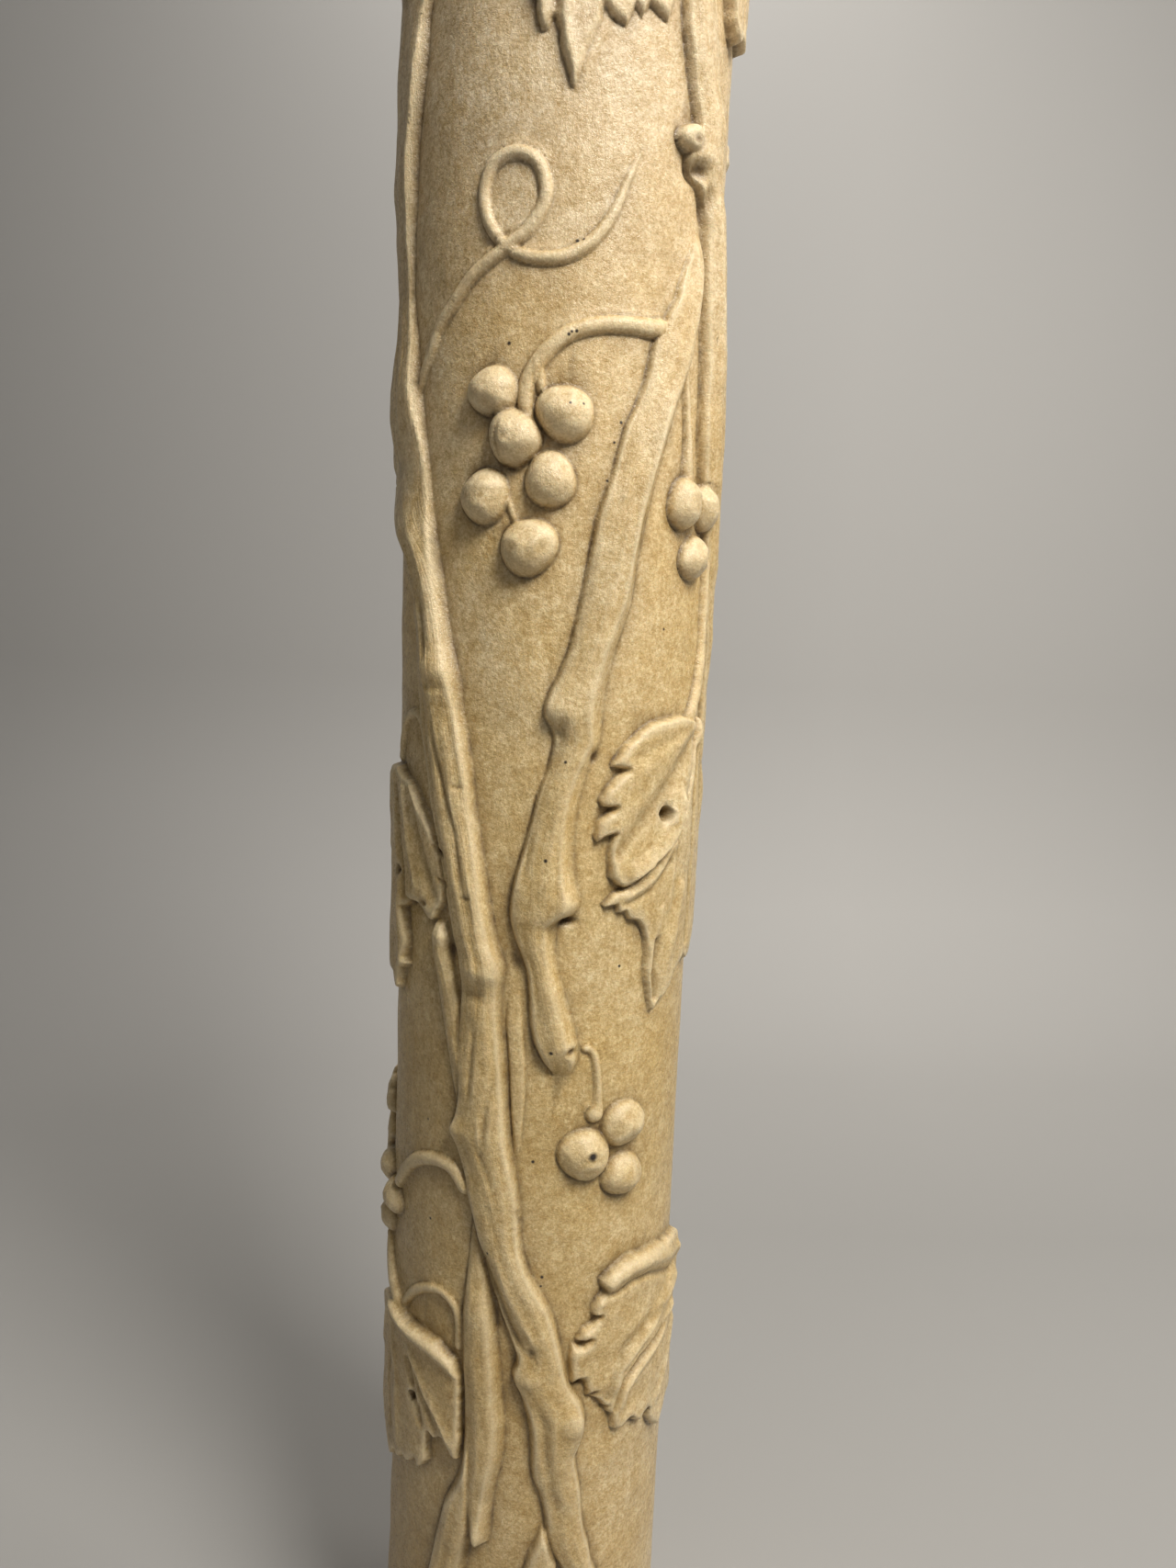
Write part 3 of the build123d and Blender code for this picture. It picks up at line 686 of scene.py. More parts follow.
RIGHT_LEAF_LOBES = dict(
    outline=[
        (63, 585), (57, 588), (50, 588.5), (40, 587), (33, 582.5), (27, 576), (22.5, 568), (22, 565),
        (27.5, 563.5), (24, 560), (20, 555), (18, 548.5), (19, 546), (23.5, 545.5), (20, 542), (17.5, 538),
        (16.5, 531), (18, 529.5), (24, 532.5), (22.5, 527), (22, 520), (23, 512), (25.5, 507.5),
        (28.5, 505.5), (31, 506.5), (34, 509.5), (39, 514), (45, 520), (51, 527), (56, 536), (60, 552),
        (63, 568),
    ],
    rise=5.4, seed=5, sag=0.6, edge=3,
    ribs=[([(62, 580), (46, 572), (32, 562), (21, 550)], 4, 0.9)],
    folds=[([(53, 546), (50.5, 533), (45, 521.5), (37, 513.5), (28.5, 508.5)], 3, 9.5, 4.2)],
    furrows=[
        ([(60, 576), (46, 556), (35, 540), (25, 524)], 4.5, 2.2),
        ([(58, 582), (44, 577), (30, 570)], 2.2, 0.4),
    ],
)
LOW_RIGHT_LEAF = dict(
    outline=[
        (76, 300), (68, 303), (58, 306), (49.6, 308.3), (40.6, 309.8), (34.4, 307.8), (28.9, 304.3),
        (26.2, 301), (26.6, 297.5), (28.4, 294), (25.6, 291.5), (23.6, 287.4), (23.6, 282.6), (26.6, 280.6),
        (23.6, 277.2), (20.4, 276.2), (17.4, 270), (22.8, 269), (20.6, 266.4), (16.2, 268), (14.8, 261.5),
        (15.4, 252), (16.2, 245.4), (21.8, 244.8), (22.8, 240.8), (22, 237), (27, 233.6), (31, 226.4),
        (33.6, 221.5), (34.8, 212.5), (38.1, 211), (43, 213.5), (46, 210), (48.9, 207.4), (51.5, 210),
        (54.5, 207), (57, 200), (60, 195), (63, 192.5), (66, 197), (72, 203), (80, 199), (88, 207),
        (96, 222), (101, 243), (100, 268), (92, 287), (84, 296),
    ],
    rise=4.6, seed=7, sag=0.8, edge=3,
    ribs=[
        ([(28.6, 298.4), (33, 301), (40, 303.4), (50, 302), (66, 294), (80, 288)], 4.6, 3.6),
        ([(78, 290), (90, 250), (92, 222)], 2.6, 1.6),
    ],
    folds=[
        ([(74, 276), (61.6, 267.9), (45.3, 256.6), (36.1, 247.5), (32.4, 230)], 4.6, 8, 3.6),
        ([(74, 258), (66, 251), (46, 241), (39.2, 233), (36.4, 220)], 5, 3, 2.2),
        ([(78, 246), (68, 226), (58, 210)], 5, 4, 1.6),
    ],
    furrows=[
        ([(28.6, 293), (33.2, 291.6), (41, 294.4), (50, 293.2), (68, 283)], 1.9, 1.5),
        ([(72, 266), (50.5, 266.5), (38.8, 258.7), (34.2, 246), (30.5, 234)], 3, 1.4),
        ([(70.7, 253.2), (47.5, 246.2), (39, 238.4), (34.6, 223)], 1.5, 1.6),
    ],
)
LEFT_LEAF = dict(
    outline=[
        (-68, 557), (-65.5, 554), (-56, 549), (-47.4, 536.5), (-42.7, 529), (-38.7, 519.6), (-36, 504),
        (-36.4, 496), (-39.4, 489), (-41.7, 483.2), (-43.8, 484), (-46.3, 487), (-50, 489.5), (-53.5, 490.5),
        (-57.7, 488.5), (-62, 484.5), (-59.6, 477.5), (-57.4, 465), (-60.4, 459), (-57.4, 456), (-62, 451.5),
        (-64, 441), (-66.5, 438.5), (-70, 446), (-76, 446), (-82, 460), (-90, 468), (-96, 486), (-99, 508),
        (-96, 530), (-88, 546), (-78, 556),
    ],
    rise=5, seed=11, sag=0.5,
    ribs=[
        ([(-66, 556), (-60, 553), (-54, 547), (-47.6, 539), (-43, 530)], 2.6, 2.2),
        ([(-72, 550), (-66, 505), (-61, 450)], 3, 1.4), ([(-76, 550), (-88, 510)], 3, 1.4),
    ],
    folds=[
        ([(-58, 548), (-51, 527), (-45, 508), (-39, 490)], 4, 7, -1.8),
        ([(-62, 545), (-56, 515), (-50, 494)], 3, 4, 1.2),
    ],
    furrows=[([(-70, 545), (-64, 515), (-60, 490)], 2.4, 1.4)],
)
LOW_LEFT_LEAF = dict(
    outline=[
        (-62, 266), (-54, 262), (-45, 262), (-36, 260), (-28, 254), (-25, 246), (-25, 226), (-24.6, 211),
        (-25.8, 198), (-28.5, 200.5), (-32.5, 207.5), (-36, 205), (-38.7, 206.5), (-40.6, 195), (-39.9, 189),
        (-42, 184.5), (-44.3, 182.5), (-46, 186), (-48.6, 181.5), (-51, 180), (-54, 181), (-58, 174.5),
        (-62, 176), (-66, 169), (-70, 175), (-78, 186), (-88, 197), (-95, 214), (-96, 234), (-88, 252),
        (-76, 262),
    ],
    rise=4.8, seed=13, sag=0.4,
    ribs=[
        ([(-76, 280), (-68, 268), (-60, 260.5), (-50, 258.5), (-38, 256.5), (-28, 250)], 3.6, 4.2),
        ([(-66, 258), (-60, 220), (-58, 186)], 2.8, 1.8), ([(-70, 258), (-84, 226)], 2.8, 1.5),
    ],
    folds=[
        ([(-50, 246), (-42, 231), (-34, 218), (-26, 202)], 4, 2.5, 1.5),
        ([(-52, 240), (-46, 222), (-42, 206)], 3.5, 3, -1.8),
    ],
    furrows=[
        ([(-68, 252), (-70, 220), (-66, 190)], 2.6, 1.6), ([(-46, 236), (-36, 212), (-30, 197)], 1.6, 0.8),
    ],
)
TOP_LEAF = dict(
    outline=[
        (-14, 944), (-22, 926), (-19, 905), (-12.8, 893), (-11.8, 884), (-10.2, 880.6), (-7.8, 881.2),
        (-6.2, 884.8), (-5.2, 881), (-2.9, 870), (-0.6, 860.5), (0.9, 857), (2.2, 861.5), (4.2, 870.5),
        (7, 880), (9.8, 890.5), (11.6, 888), (14.3, 886.2), (16.6, 885.4), (18.2, 889.5), (19.5, 893.5),
        (22, 889.5), (24.4, 895.5), (27, 893.5), (29.5, 892), (31.6, 890.5), (33.5, 898), (35, 918),
        (31, 934), (24, 946), (12, 958), (0, 957),
    ],
    rise=3.4, seed=17, edge=4,
    ribs=[
        ([(2, 950), (-2.5, 900), (-2.6, 882), (-0.2, 863)], 3.2, 2.4),
        ([(10, 950), (22, 918), (28, 902)], 2.6, 1.2), ([(-6, 940), (-10.5, 905), (-10.5, 886)], 3.4, 2.8),
    ],
    furrows=[
        ([(6, 940), (11, 915), (14, 899)], 2.6, 1.6), ([(4, 940), (-2, 915), (-5.6, 888)], 2.2, 2),
        ([(16, 930), (20, 910), (20, 898)], 1.8, 1.2), ([(20, 930), (25, 912), (25, 900)], 1.8, 1.2),
    ],
)
TOP_RIGHT_LEAF = dict(
    outline=[
        (62, 955), (58, 940), (61, 928), (60, 916), (62, 907), (65, 901), (68, 899), (71, 901), (74, 906),
        (78, 904), (82, 902), (90, 912), (95, 930), (90, 948), (78, 958),
    ],
    rise=6.2, seed=19, sag=0.6,
    ribs=[([(74, 952), (68, 925), (67, 904)], 3, 1.5), ([(76, 950), (88, 920)], 3, 1.2)],
    furrows=[([(76, 945), (74, 925), (74, 908)], 2.6, 1.5)],
)


def carve_leaves():
    # Right, half way down: the lower layer, the stalk and the lobes that lie over it.
    leaf(**RIGHT_LEAF_UNDER)
    leaf(**RIGHT_LEAF_LOBES)
    tendril(((690, 74, 0.8), (640, 73, 0.85), (612, 70, 1.0), (597, 65, 1.1), (587, 61, 1.15)), 3.8, 4.2)
    eye(44.8, 540.8, 3.6, 3.5)
    crease(((47.5, 545), (48.6, 541), (48, 537), (45.5, 535)), 1.5, -0.8, 0)
    # Right, lower down.
    leaf(**LOW_RIGHT_LEAF)
    for place in (
        (26.4, 288.4, 2.8, 2.0, 1.4), (25.0, 284.2, 2.4, 1.8, 1.2), (21.0, 273.5, 4, 2.2, 1.2),
        (19.6, 246.6, 3.4, 2.2, -3.6), (25.4, 237.6, 3.0, 1.6, -2.8), (31.2, 227.5, 2.4, 1.4, -1.8),
    ):
        knot(*place)
    eye(53.6, 208.8, 3.0, 2.5)
    eye(44, 212.8, 1.6, 2.0)
    # Left, half way down.
    leaf(**LEFT_LEAF)
    eye(-66, 503, 2.6, 1.5)
    for place in ((-57.5, 489.5, 2.6, 1.8, -2.2), (-47, 491.5, 2.6, 1.6, -1.8), (-38.5, 519, 2.4, 1.2, -1.5)):
        knot(*place)
    crease(((-43, 523), (-38, 519), (-35.5, 517)), 1.1, 1.4, 0.5)
    crease(((-40, 507), (-36.5, 504.5), (-34.5, 502)), 1.1, 1.2, 0.5)
    # Left, lower down.
    leaf(**LOW_LEFT_LEAF)
    tendril(((306, -84, 0.5), (290, -78, 0.9), (278, -72, 1.1), (267, -65, 1.1), (260, -58, 1.1)), 4.2, 4.6)
    eye(-48.5, 221.5, 2.4, 1.0)
    crease(((-50.5, 226), (-47, 227), (-44.5, 223), (-44.8, 217)), 1.2, -0.9, 0)
    # The leaf whose tips hang into the top of the view.
    leaf(**TOP_LEAF)
    worn_smooth(((1.6, 858), (4.4, 868), (7.4, 878), (10.2, 890), (12.2, 902)), 3.2, 1.2)
    leaf(**TOP_RIGHT_LEAF)


# The leaves on the unseen side: place of the stalk's end, then each lobe's heading, length and width.
BACK_LEAVES = (
    (920, 225, ((176, 92, 34), (137, 68, 30), (-147, 64, 30), (95, 45, 26), (-106, 42, 26))),
    (780, 120, ((185, 90, 34), (147, 66, 30), (-137, 66, 30), (105, 42, 26), (-95, 42, 26))),
    (420, 168, ((184, 84, 32), (146, 60, 28), (-138, 60, 28), (102, 36, 24), (-98, 36, 24))),
    (740, 250, ((174, 90, 34), (134, 65, 30), (-148, 67, 30), (92, 43, 26), (-109, 44, 26))),
    (165, 168, ((182, 84, 32), (144, 60, 28), (-140, 60, 28), (102, 36, 24), (-98, 36, 24))),
    (370, 248, ((182, 88, 34), (144, 62, 30), (-140, 62, 30), (102, 42, 26), (-98, 42, 26))),
)
# Half of a lobe's outline, as shares of its length and half width.
LOBE_EDGE = (
    (0, 0.34), (0.16, 0.6), (0.3, 0.92), (0.42, 1), (0.45, 0.8), (0.56, 0.86), (0.66, 0.8), (0.69, 0.58),
    (0.8, 0.52), (0.9, 0.3),
)


def back_leaf(level, turn, lobes, seed):
    """A leaf on the unseen side: toothed lobes that meet at the stalk, each with its vein."""
    grid, across, up = patch(turn, level, 112, 112)
    inside = np.full(np.broadcast(across, up).shape, -1e9)
    veins = np.zeros_like(inside)
    crests = np.zeros_like(inside)
    for heading, length, width in lobes:
        along_x, along_z = math.sin(math.radians(heading)), math.cos(math.radians(heading))

        def placed(point):
            x, y = point[0] * length, point[1] * width / 2
            return x * along_x + y * along_z, x * along_z - y * along_x

        edge = [placed(point) for point in LOBE_EDGE]
        other = [placed((x, -y)) for x, y in reversed(LOBE_EDGE)]
        lobe_inside = inside_distance(edge + [placed((1.0, 0.0))] + other, across, up)
        inside = np.maximum(inside, lobe_inside)
        far, way, side = line_distance([placed((0.02, 0.0)), placed((0.92, 0.0))], across, up)
        veins = np.maximum(veins, np.exp(-(far / (1.5 - 0.7 * way)) ** 2) * (1 - 0.6 * way))
        crests = np.maximum(crests, step(lobe_inside, 0, width * 0.3))
    inside = inside + noise(across / 5.5, up / 5.5, seed) * 0.4
    share = np.clip(inside / 2.6, 0, 1)
    form = (3.9 + 2.2 * crests) * (1 - (1 - share) ** 2.2) - veins * 1.5 * share
    form = form + noise(across / 15, up / 15, seed + 1) * 0.5 * share
    lay(grid, form, -inside, cut=0.9)
    # Dirt and painted shade darken the sunk veins.
    dirt_and_shade[grid] = np.maximum(dirt_and_shade[grid], veins * 0.5 * (inside > 0))


def carve():
    carve_ground()
    carve_stems()
    carve_leaves()
    for count, (level, turn, lobes) in enumerate(BACK_LEAVES):
        back_leaf(level, turn, lobes, 200 + 10 * count)
    carve_tendrils()
    for count, place in enumerate(GRAPES):
        grape(*place, seed=300 + count)
    crease(GRAPE_ARC, 0.9, 1.0, 0.35)
    for count, place in enumerate(STAINS):
        stain(*place, seed=400 + 2 * count)
    # The collars stay plain, and nothing stands further out than they do.
    from_end = np.minimum(levels, HEIGHT - levels)[:, None]
    collar = collar_form(from_end)
    plain = from_end < COLLAR_HEIGHT
    worn = collar_wear(turns[None, :], levels[:, None])
    relief[:] = np.where(plain, collar + worn, np.where(collar > 0, np.maximum(relief, collar), relief))
    relief[:] = np.minimum(relief, COLLAR_RISE + 0.6)
    arris = np.clip(ARRIS - from_end, 0, None)
    relief[:] = relief - arris
    bark[:] = bark * (from_end > COLLAR_HEIGHT)
    dirt_and_shade[:] = dirt_and_shade * step(from_end, COLLAR_HEIGHT - 2, COLLAR_HEIGHT + 4)
    # Dirt and painted shade darken the corner where the ground meets each collar.
    contact = np.exp(-((from_end - COLLAR_HEIGHT - COLLAR_BEVEL) / 3.0) ** 2)
    dirt_and_shade[:] = np.maximum(dirt_and_shade, contact * 0.7)


def blurred(field, cells):
    """A running mean over a square of cells, wrapped round the shaft."""
    wide = np.pad(field, ((0, 0), (cells, cells)), mode="wrap")
    wide = np.pad(wide, ((cells, cells), (0, 0)), mode="edge")
    total = wide.cumsum(axis=0).cumsum(axis=1)
    total = np.pad(total, ((1, 0), (1, 0)))
    size = 2 * cells + 1
    box = total[size:, size:] - total[:-size, size:] - total[size:, :-size] + total[:-size, :-size]
    return box / size ** 2


def stone_mesh():
    """The carved skin and the two beds as one closed mesh, thinned where the stone is plain."""
    rows, columns = relief.shape
    angle = np.radians(turns)[None, :]
    radius = (GROUND + relief) * MM
    skin = np.stack([
        radius * np.sin(angle), -radius * np.cos(angle), np.broadcast_to(levels[:, None] * MM, radius.shape),
    ], axis=-1).reshape(-1, 3)
    index = np.arange(rows * columns).reshape(rows, columns)
    after = np.roll(index, -1, axis=1)
    quads = np.stack([index[:-1], after[:-1], after[1:], index[1:]], axis=-1).reshape(-1, 4)
    vertices = [skin, [[0, 0, 0], [0, 0, HEIGHT * MM]]]
    foot, head = rows * columns, rows * columns + 1
    triangles = np.concatenate([
        np.stack([np.full(columns, foot), after[0], index[0]], axis=-1),
        np.stack([np.full(columns, head), index[-1], after[-1]], axis=-1),
    ])
    vertices = np.concatenate(vertices).astype(np.float32)
    corners = np.concatenate([quads.ravel(), triangles.ravel()]).astype(np.int32)
    starts = np.concatenate([
        np.arange(len(quads)) * 4, len(quads) * 4 + np.arange(len(triangles)) * 3,
    ]).astype(np.int32)
    mesh = bpy.data.meshes.new("carved_stone")
    mesh.vertices.add(len(vertices))
    mesh.vertices.foreach_set("co", vertices.ravel())
    mesh.loops.add(len(corners))
    mesh.loops.foreach_set("vertex_index", corners)
    mesh.polygons.add(len(starts))
    mesh.polygons.foreach_set("loop_start", starts)
    mesh.update(calc_edges=True)
    mesh.validate()
    return mesh


def sampled(field, turn, level):
    """Read a field at each vertex by its place round and up the shaft."""
    wide_turns = np.concatenate([turns, [turns[0] + 360]])
    place = (turn - turns[0]) % 360 + turns[0]
    column = np.interp(place, wide_turns, np.arange(len(wide_turns)))
    row = np.clip(np.interp(level, levels, np.arange(len(levels))), 0, len(levels) - 1.001)
    c0, r0 = np.floor(column).astype(int), np.floor(row).astype(int)
    fc, fr = column - c0, row - r0
    c0, c1 = c0 % len(turns), (c0 + 1) % len(turns)
    low_row = field[r0, c0] * (1 - fc) + field[r0, c1] * fc
    high_row = field[r0 + 1, c0] * (1 - fc) + field[r0 + 1, c1] * fc
    return low_row * (1 - fr) + high_row * fr


def thinned(mesh):
    """The same mesh with few triangles where it is plain."""
    full = sum(len(polygon.vertices) - 2 for polygon in mesh.polygons)
    rough = bpy.data.objects.new("rough_stone", mesh)
    bpy.context.collection.objects.link(rough)
    thin = rough.modifiers.new("thin", "DECIMATE")
    thin.ratio = KEPT_TRIANGLES / full
    shape = rough.evaluated_get(bpy.context.evaluated_depsgraph_get())
    result = bpy.data.meshes.new_from_object(shape)
    bpy.data.objects.remove(rough)
    bpy.data.meshes.remove(mesh)
    return result


def add_field(mesh, name, field, turn, level):
    values = sampled(field, turn, level).astype(np.float32)
    mesh.attributes.new(name, "FLOAT", "POINT").data.foreach_set("value", values)


def build_stone():
    carve()
    # Painted shade darkens the hollows by how far they lie below their surroundings, and is laid in with the
    # dirt. The crests are painted paler as worn and lit.
    hollows = blurred(relief, 4) - relief
    wide_hollows = blurred(relief, 14) - relief
    shade = np.clip(hollows / 1.1, 0, 1) * 0.7 + np.clip(wide_hollows / 4.0, 0, 1) * 0.5
    crest_wear_and_highlight = np.clip(-hollows / 0.9, 0, 1)
    mesh = thinned(stone_mesh())
    place = np.empty(len(mesh.vertices) * 3, dtype=np.float32)
    mesh.vertices.foreach_get("co", place)
    place = place.reshape(-1, 3)
    turn = np.degrees(np.arctan2(place[:, 0], -place[:, 1]))
    level = place[:, 2] / MM
    add_field(mesh, "dirt_and_shade", np.clip(dirt_and_shade * 0.8 + shade * 0.6, 0, 1), turn, level)
    add_field(mesh, "crest_wear_and_highlight", crest_wear_and_highlight, turn, level)
    add_field(mesh, "bark", blurred(bark, 1), turn, level)
    add_field(mesh, "strand", strand, turn, level)
    add_field(mesh, "paleness", blurred(paleness, 1), turn, level)
    mesh.shade_smooth()
    stone = bpy.data.objects.new("carved_marble", mesh)
    bpy.context.collection.objects.link(stone)
    return stone


# Materials

CREAM = (0.70, 0.50, 0.222, 1)
PALE = (0.81, 0.63, 0.35, 1)
HONEY = (0.60, 0.39, 0.125, 1)
GREY = (0.47, 0.385, 0.265, 1)
SMEARED = (0.48, 0.35, 0.17, 1)
PALE_HEAD = (0.76, 0.60, 0.39, 1)
YELLOWED = (0.62, 0.43, 0.135, 1)
LOW_LEFT_SHADE = (0.34, 0.22, 0.070, 1)
WORN_AND_LIT_CREST = (0.88, 0.74, 0.48, 1)
DIRT_AND_SHADE_COLOUR = (0.13, 0.078, 0.030, 1)
PIT_SHADE = (0.035, 0.025, 0.018, 1)
PAPER_FLOOR = (0.40, 0.39, 0.372, 1)
PAPER_WALL = (0.62, 0.605, 0.58, 1)
PAPER_LEFT_SHADE = (0.40, 0.39, 0.375, 1)
# From coarse to fine: noise scale, detail and roughness, where it runs from dark to light, and both factors.
SPECKLES = (
    (120.0, 5.0, 0.75, 0.36, 0.64, (0.88, 0.84, 0.76, 1), (1.12, 1.16, 1.26, 1)),
    (330.0, 2.0, 0.7, 0.38, 0.62, (0.92, 0.89, 0.84, 1), (1.08, 1.11, 1.17, 1)),
    (640.0, 3.0, 0.9, 0.40, 0.60, (0.84, 0.80, 0.72, 1), (1.16, 1.20, 1.30, 1)),
)
# Pin holes, painted as dark dots of shade where no hole is carved: degrees, level and radius in millimetres.
PITS = (
    (0.2, 521.5, 0.75), (43, 630, 0.5), (5.4, 568, 0.6), (4.2, 426.5, 0.8), (19.2, 373, 1.7),
    (29.4, 466, 0.6), (-45.6, 377.5, 0.5), (1.8, 757.3, 0.6), (2.7, 758.5, 0.5), (4.2, 758.8, 0.6),
    (3.6, 796.6, 0.7), (5.5, 797.3, 0.6), (2.8, 727.5, 0.5), (6.9, 727.8, 0.5), (4.2, 306, 0.7),
    (3.9, 301, 0.5), (-42.9, 324.5, 0.6), (-15.2, 320, 0.5), (-0.6, 367.4, 0.7), (20.8, 722, 0.6),
    (18.6, 713, 0.5), (16.6, 696, 0.5), (-17.9, 753.6, 0.7),
)


class Nodes:
    """Short forms for the nodes that the materials share."""

    def __init__(self, name):
        self.material = bpy.data.materials.new(name)
        self.material.use_nodes = True
        self.tree = self.material.node_tree
        self.shader = self.tree.nodes["Principled BSDF"]

    def add(self, kind, **inputs):
        node = self.tree.nodes.new(kind)
        for key, value in inputs.items():
            self.feed(node, key.replace("_", " "), value)
        return node

    def feed(self, node, key, value):
        socket = node.inputs[int(key) if key.isdigit() else key]
        if isinstance(value, bpy.types.NodeSocket):
            self.tree.links.new(value, socket)
        else:
            socket.default_value = value

    def place(self):
        return self.add("ShaderNodeTexCoord").outputs["Object"]

    def noise(self, scale, detail=4.0, roughness=0.5, vector=None):
        node = self.add("ShaderNodeTexNoise", Scale=scale, Detail=detail, Roughness=roughness)
        self.feed(node, "Vector", vector or self.place())
        return node.outputs["Fac"]

    def ramp(self, value, start, end):
        node = self.add("ShaderNodeMapRange", Value=value)
        node.inputs["From Min"].default_value = start
        node.inputs["From Max"].default_value = end
        return node.outputs["Result"]

    def field(self, name):
        node = self.add("ShaderNodeAttribute")
        node.attribute_name = name
        return node.outputs["Fac"]

    def math(self, operation, first, second):
        node = self.add("ShaderNodeMath")
        node.operation = operation
        self.feed(node, "0", first)
        self.feed(node, "1", second)
        return node.outputs["Value"]

    def mix(self, share, first, second, blend="MIX"):
        node = self.add("ShaderNodeMix")
        node.data_type = "RGBA"
        node.blend_type = blend
        self.feed(node, "0", share)
        self.feed(node, "6", first)
        self.feed(node, "7", second)
        return node.outputs[2]

    def tint(self, colour, where, share, tint):
        """Turn a colour towards a tint by up to the given share."""
        return self.mix(self.math("MULTIPLY", where, share), colour, tint)

    def speckle(self, colour, where, dark, light):
        """Multiply a colour by a factor that runs from dark to light."""
        return self.mix(1.0, colour, self.mix(where, dark, light), "MULTIPLY")

    def both(self, first, second):
        """How far two shares hold at once."""
        return self.math("MULTIPLY", first, second)

    def bump(self, height, strength, distance, normal=None):
        node = self.add("ShaderNodeBump", Height=height, Strength=strength, Distance=distance)
        if normal:
            self.feed(node, "Normal", normal)
        return node.outputs["Normal"]


def stretched(nodes, x, y, z):
    node = nodes.add("ShaderNodeMapping", Vector=nodes.place(), Scale=(x, y, z))
    return node.outputs["Vector"]


def marble():
    """Old carved marble: warm cream with grey drifts, wood grain on the stems, brown dirt and painted shade
    in the cuts and hollows, painted shade low down on the left and painted highlights on worn crests.
    """
    nodes = Nodes("aged_marble")
    colour = nodes.mix(nodes.ramp(nodes.noise(11.0, 3.0), 0.38, 0.66), CREAM, PALE)
    colour = nodes.tint(colour, nodes.field("paleness"), 0.6, PALE)
    colour = nodes.tint(colour, nodes.ramp(nodes.noise(23.0, 4.0), 0.48, 0.72), 0.45, HONEY)
    drift = nodes.ramp(nodes.noise(8.0, 5.0, 0.6, stretched(nodes, 1.0, 1.0, 0.7)), 0.47, 0.66)
    colour = nodes.tint(colour, drift, 0.34, GREY)
    streak = nodes.ramp(nodes.noise(60.0, 4.0, 0.65, stretched(nodes, 1.0, 1.0, 0.22)), 0.46, 0.74)
    colour = nodes.tint(colour, streak, 0.26, HONEY)
    smear = nodes.ramp(nodes.noise(26.0, 5.0, 0.65, stretched(nodes, 1.0, 1.0, 2.4)), 0.50, 0.72)
    colour = nodes.tint(colour, smear, 0.30, SMEARED)
    # Paler towards the head of the shaft, yellower half way down, and painted shade, dark and brown, low down
    # on the left.
    place = nodes.add("ShaderNodeSeparateXYZ", Vector=nodes.place())
    across, along = place.outputs["X"], place.outputs["Z"]
    colour = nodes.tint(colour, nodes.ramp(along, 0.66, 0.90), 0.45, PALE_HEAD)
    yellowed = nodes.both(nodes.ramp(along, 0.72, 0.52), nodes.ramp(along, 0.15, 0.35))
    colour = nodes.tint(colour, yellowed, 0.30, YELLOWED)
    low_left_shade = nodes.both(nodes.ramp(along, 0.50, 0.08), nodes.ramp(across, 0.045, -0.045))
    colour = nodes.tint(colour, low_left_shade, 0.62, LOW_LEFT_SHADE)
    for scale, detail, roughness, start, end, dark, light in SPECKLES:
        where = nodes.ramp(nodes.noise(scale, detail, roughness), start, end)
        colour = nodes.speckle(colour, where, dark, light)
    # The wood grain follows each stem.
    woody = nodes.add("ShaderNodeCombineXYZ")
    nodes.feed(woody, "X", nodes.field("strand"))
    nodes.feed(woody, "Y", nodes.math("MULTIPLY", along, 42.0))
    fibre = nodes.noise(0.62, 4.0, 0.65, woody.outputs["Vector"])
    on_stem = nodes.field("bark")
    colour = nodes.tint(colour, nodes.both(nodes.ramp(fibre, 0.52, 0.36), on_stem), 0.36, HONEY)
    colour = nodes.tint(colour, nodes.both(nodes.ramp(fibre, 0.52, 0.68), on_stem), 0.40, PALE)
    # Painted highlight with wear: the crests are paler.
    colour = nodes.tint(colour, nodes.field("crest_wear_and_highlight"), 0.50, WORN_AND_LIT_CREST)
    # The factor of the dirt and painted shade is 0.55 of the patchy noise over the node's own 0.5.
    patchy = nodes.ramp(nodes.noise(85.0, 5.0, 0.7), 0.32, 0.62)
    dirt_and_shade_share = nodes.math("MULTIPLY", nodes.field("dirt_and_shade"), nodes.math("MULTIPLY_ADD", patchy, 0.55))
    colour = nodes.mix(dirt_and_shade_share, colour, DIRT_AND_SHADE_COLOUR)
    colour = with_pit_shade(nodes, colour)
    nodes.feed(nodes.shader, "Base Color", colour)
    glint = nodes.math("MULTIPLY", nodes.ramp(nodes.noise(900.0, 2.0, 0.8), 0.40, 0.70), 0.22)
    rough = nodes.ramp(nodes.noise(240.0, 3.0), -0.40, 1.7)
    nodes.feed(nodes.shader, "Roughness", nodes.math("SUBTRACT", rough, glint))
    nodes.feed(nodes.shader, "Subsurface Weight", 0.10)
    nodes.feed(nodes.shader, "Subsurface Radius", (0.0035, 0.0020, 0.0010))
    nodes.feed(nodes.shader, "Specular IOR Level", 0.5)
    # From the finest grain to the widest unevenness, and last the wood grain.
    normal = nodes.bump(nodes.noise(520.0, 3.0, 0.9), 0.85, 0.0006)
    scratch = nodes.noise(230.0, 4.0, 0.7, stretched(nodes, 1.0, 1.0, 0.25))
    normal = nodes.bump(scratch, 0.30, 0.0010, normal)
    normal = nodes.bump(nodes.noise(80.0, 4.0, 0.6), 0.22, 0.0026, normal)
    normal = nodes.bump(nodes.math("MULTIPLY", fibre, on_stem), 0.45, 0.0020, normal)
    nodes.feed(nodes.shader, "Normal", normal)
    return nodes.material


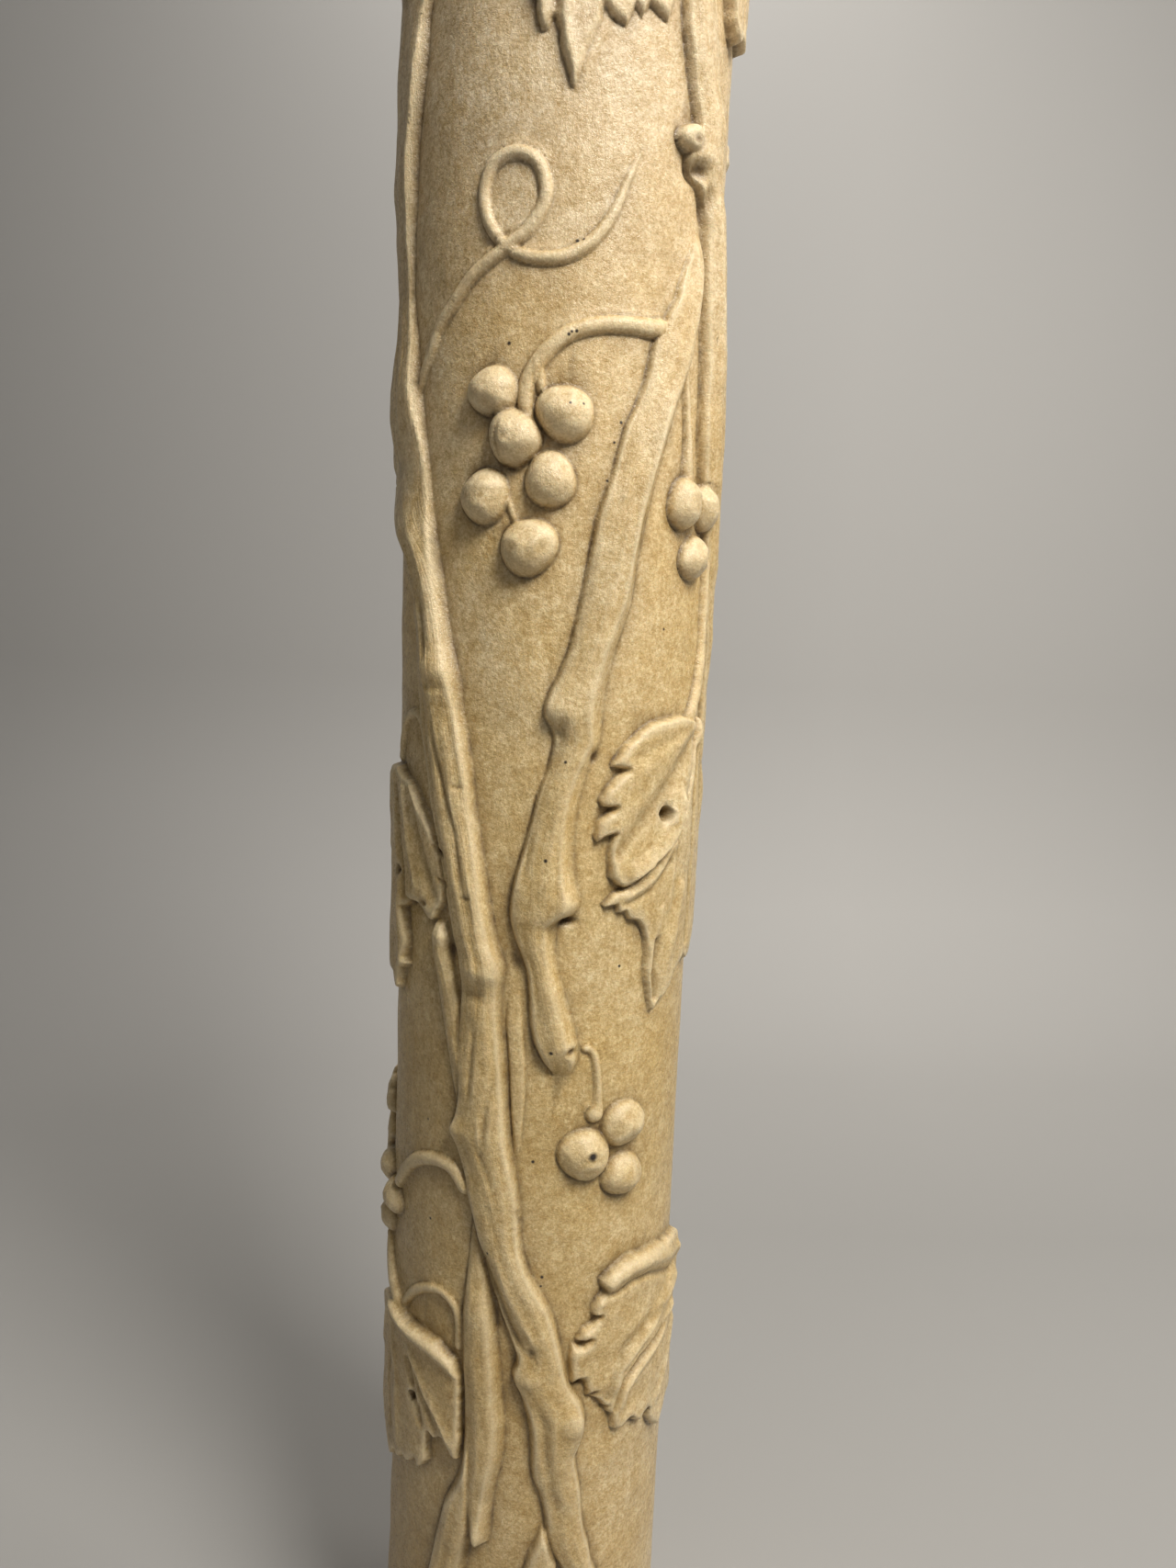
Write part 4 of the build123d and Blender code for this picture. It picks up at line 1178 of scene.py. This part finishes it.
def with_pit_shade(nodes, colour):
    """Painted shade: pin holes in the stone as dark dots."""
    for turn, level, radius in PITS:
        row = int(np.argmin(np.abs(levels - level)))
        column = int(np.argmin(np.abs(turns - turn)))
        out = (GROUND + relief[row, column]) * MM
        angle = math.radians(turn)
        centre = (out * math.sin(angle), -out * math.cos(angle), level * MM)
        far = nodes.add("ShaderNodeVectorMath")
        far.operation = "DISTANCE"
        nodes.feed(far, "0", nodes.place())
        nodes.feed(far, "1", centre)
        inside = nodes.ramp(far.outputs["Value"], radius * 1.7 * MM, radius * 0.7 * MM)
        colour = nodes.mix(inside, colour, PIT_SHADE)
    return colour


def plain_backdrop():
    """Grey paper with painted shade darkening it towards the left, and a darker grey on the floor."""
    nodes = Nodes("studio_paper")
    place = nodes.add("ShaderNodeSeparateXYZ", Vector=nodes.place())
    colour = nodes.mix(nodes.ramp(place.outputs["X"], 0.5, -0.9), PAPER_WALL, PAPER_LEFT_SHADE)
    colour = nodes.mix(nodes.ramp(place.outputs["Y"], 1.25, 0.5), colour, PAPER_FLOOR)
    nodes.feed(nodes.shader, "Base Color", colour)
    nodes.feed(nodes.shader, "Roughness", 0.9)
    return nodes.material


# Studio

SENSOR_HEIGHT = 36.0
WORLD_LIGHT = 0.070
WORLD_SEEN = 0.20
DAYLIGHT = (1.0, 0.98, 0.95)
WARM = (1.0, 0.97, 0.93)
# Name, place, what it points at, size, power and colour. The rear lamp is for the views of the back.
LAMPS = (
    ("key", (0.68, -0.98, 1.96), (0, 0, 0.62), 0.72, 38, (1.0, 0.97, 0.92)),
    ("fill", (-0.75, -1.35, 1.9), (0, 0, 0.85), 1.2, 3.0, DAYLIGHT),
    ("side", (1.35, 0.0, 1.25), (0, 0.25, 0.75), 0.6, 5, WARM),
    ("rear", (0, 1.28, 2.1), (0, 0, 0.5), 0.8, 16, WARM),
)
# The paper in metres: half its width, its front edge, the wall behind, the bend between them and the top.
PAPER_HALF = 2.6
PAPER_FRONT = -2.0
PAPER_BACK = 1.40
PAPER_BEND = 0.50
PAPER_TOP = 2.6
BEND_STEPS = 12


def add_camera():
    data = bpy.data.cameras.new("camera")
    data.sensor_fit = "VERTICAL"
    data.sensor_height = SENSOR_HEIGHT
    data.lens = data.sensor_height * FOCAL_PIXELS / IMAGE_HEIGHT
    data.clip_start = 0.01
    camera = bpy.data.objects.new("camera", data)
    bpy.context.collection.objects.link(camera)
    right, up = Vector(CAMERA_RIGHT), -Vector(CAMERA_DOWN)
    turned = Matrix((right, up, -Vector(CAMERA_AHEAD))).transposed()
    camera.matrix_world = Matrix.Translation(CAMERA_PLACE) @ turned.to_4x4()
    bpy.context.scene.camera = camera


def add_area(name, place, aim, size, power, colour):
    data = bpy.data.lights.new(name, "AREA")
    data.shape = "DISK"
    data.size = size
    data.energy = power
    data.color = colour
    lamp = bpy.data.objects.new(name, data)
    bpy.context.collection.objects.link(lamp)
    lamp.location = place
    lamp.rotation_euler = (Vector(aim) - Vector(place)).to_track_quat("-Z", "Y").to_euler()


def add_studio():
    """Grey paper that curves up behind the shaft, the lamps and the world."""
    bend_start = PAPER_BACK - PAPER_BEND
    profile = [(PAPER_FRONT, 0.0), (bend_start, 0.0)]
    for count in range(1, BEND_STEPS + 1):
        turned = math.radians(90 * count / BEND_STEPS)
        reach, rise = PAPER_BEND * math.sin(turned), PAPER_BEND - PAPER_BEND * math.cos(turned)
        profile.append((bend_start + reach, rise))
    profile.append((PAPER_BACK, PAPER_TOP))
    vertices = [(side * PAPER_HALF, y, z) for y, z in profile for side in (-1, 1)]
    faces = [(2 * i, 2 * i + 1, 2 * i + 3, 2 * i + 2) for i in range(len(profile) - 1)]
    mesh = bpy.data.meshes.new("studio_paper")
    mesh.from_pydata(vertices, [], faces)
    mesh.shade_smooth()
    paper = bpy.data.objects.new("studio_paper", mesh)
    bpy.context.collection.objects.link(paper)
    mesh.materials.append(plain_backdrop())
    for lamp in LAMPS:
        add_area(*lamp)
    world = bpy.data.worlds.new("studio")
    world.use_nodes = True
    light = world.node_tree.nodes["Background"]
    light.inputs["Color"].default_value = (*DAYLIGHT, 1)
    # The camera sees a pale grey behind the floor; the shaft is lit by the weaker light alone.
    strength = world.node_tree.nodes.new("ShaderNodeMapRange")
    strength.inputs["To Min"].default_value = WORLD_LIGHT
    strength.inputs["To Max"].default_value = WORLD_SEEN
    seen = world.node_tree.nodes.new("ShaderNodeLightPath")
    world.node_tree.links.new(seen.outputs["Is Camera Ray"], strength.inputs["Value"])
    world.node_tree.links.new(strength.outputs["Result"], light.inputs["Strength"])
    bpy.context.scene.world = world
    bpy.context.scene.view_settings.view_transform = "Standard"


stone = build_stone()
stone.data.materials.clear()
stone.data.materials.append(marble())
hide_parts("carved_shaft")
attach(stone, "root")
add_camera()
add_studio()
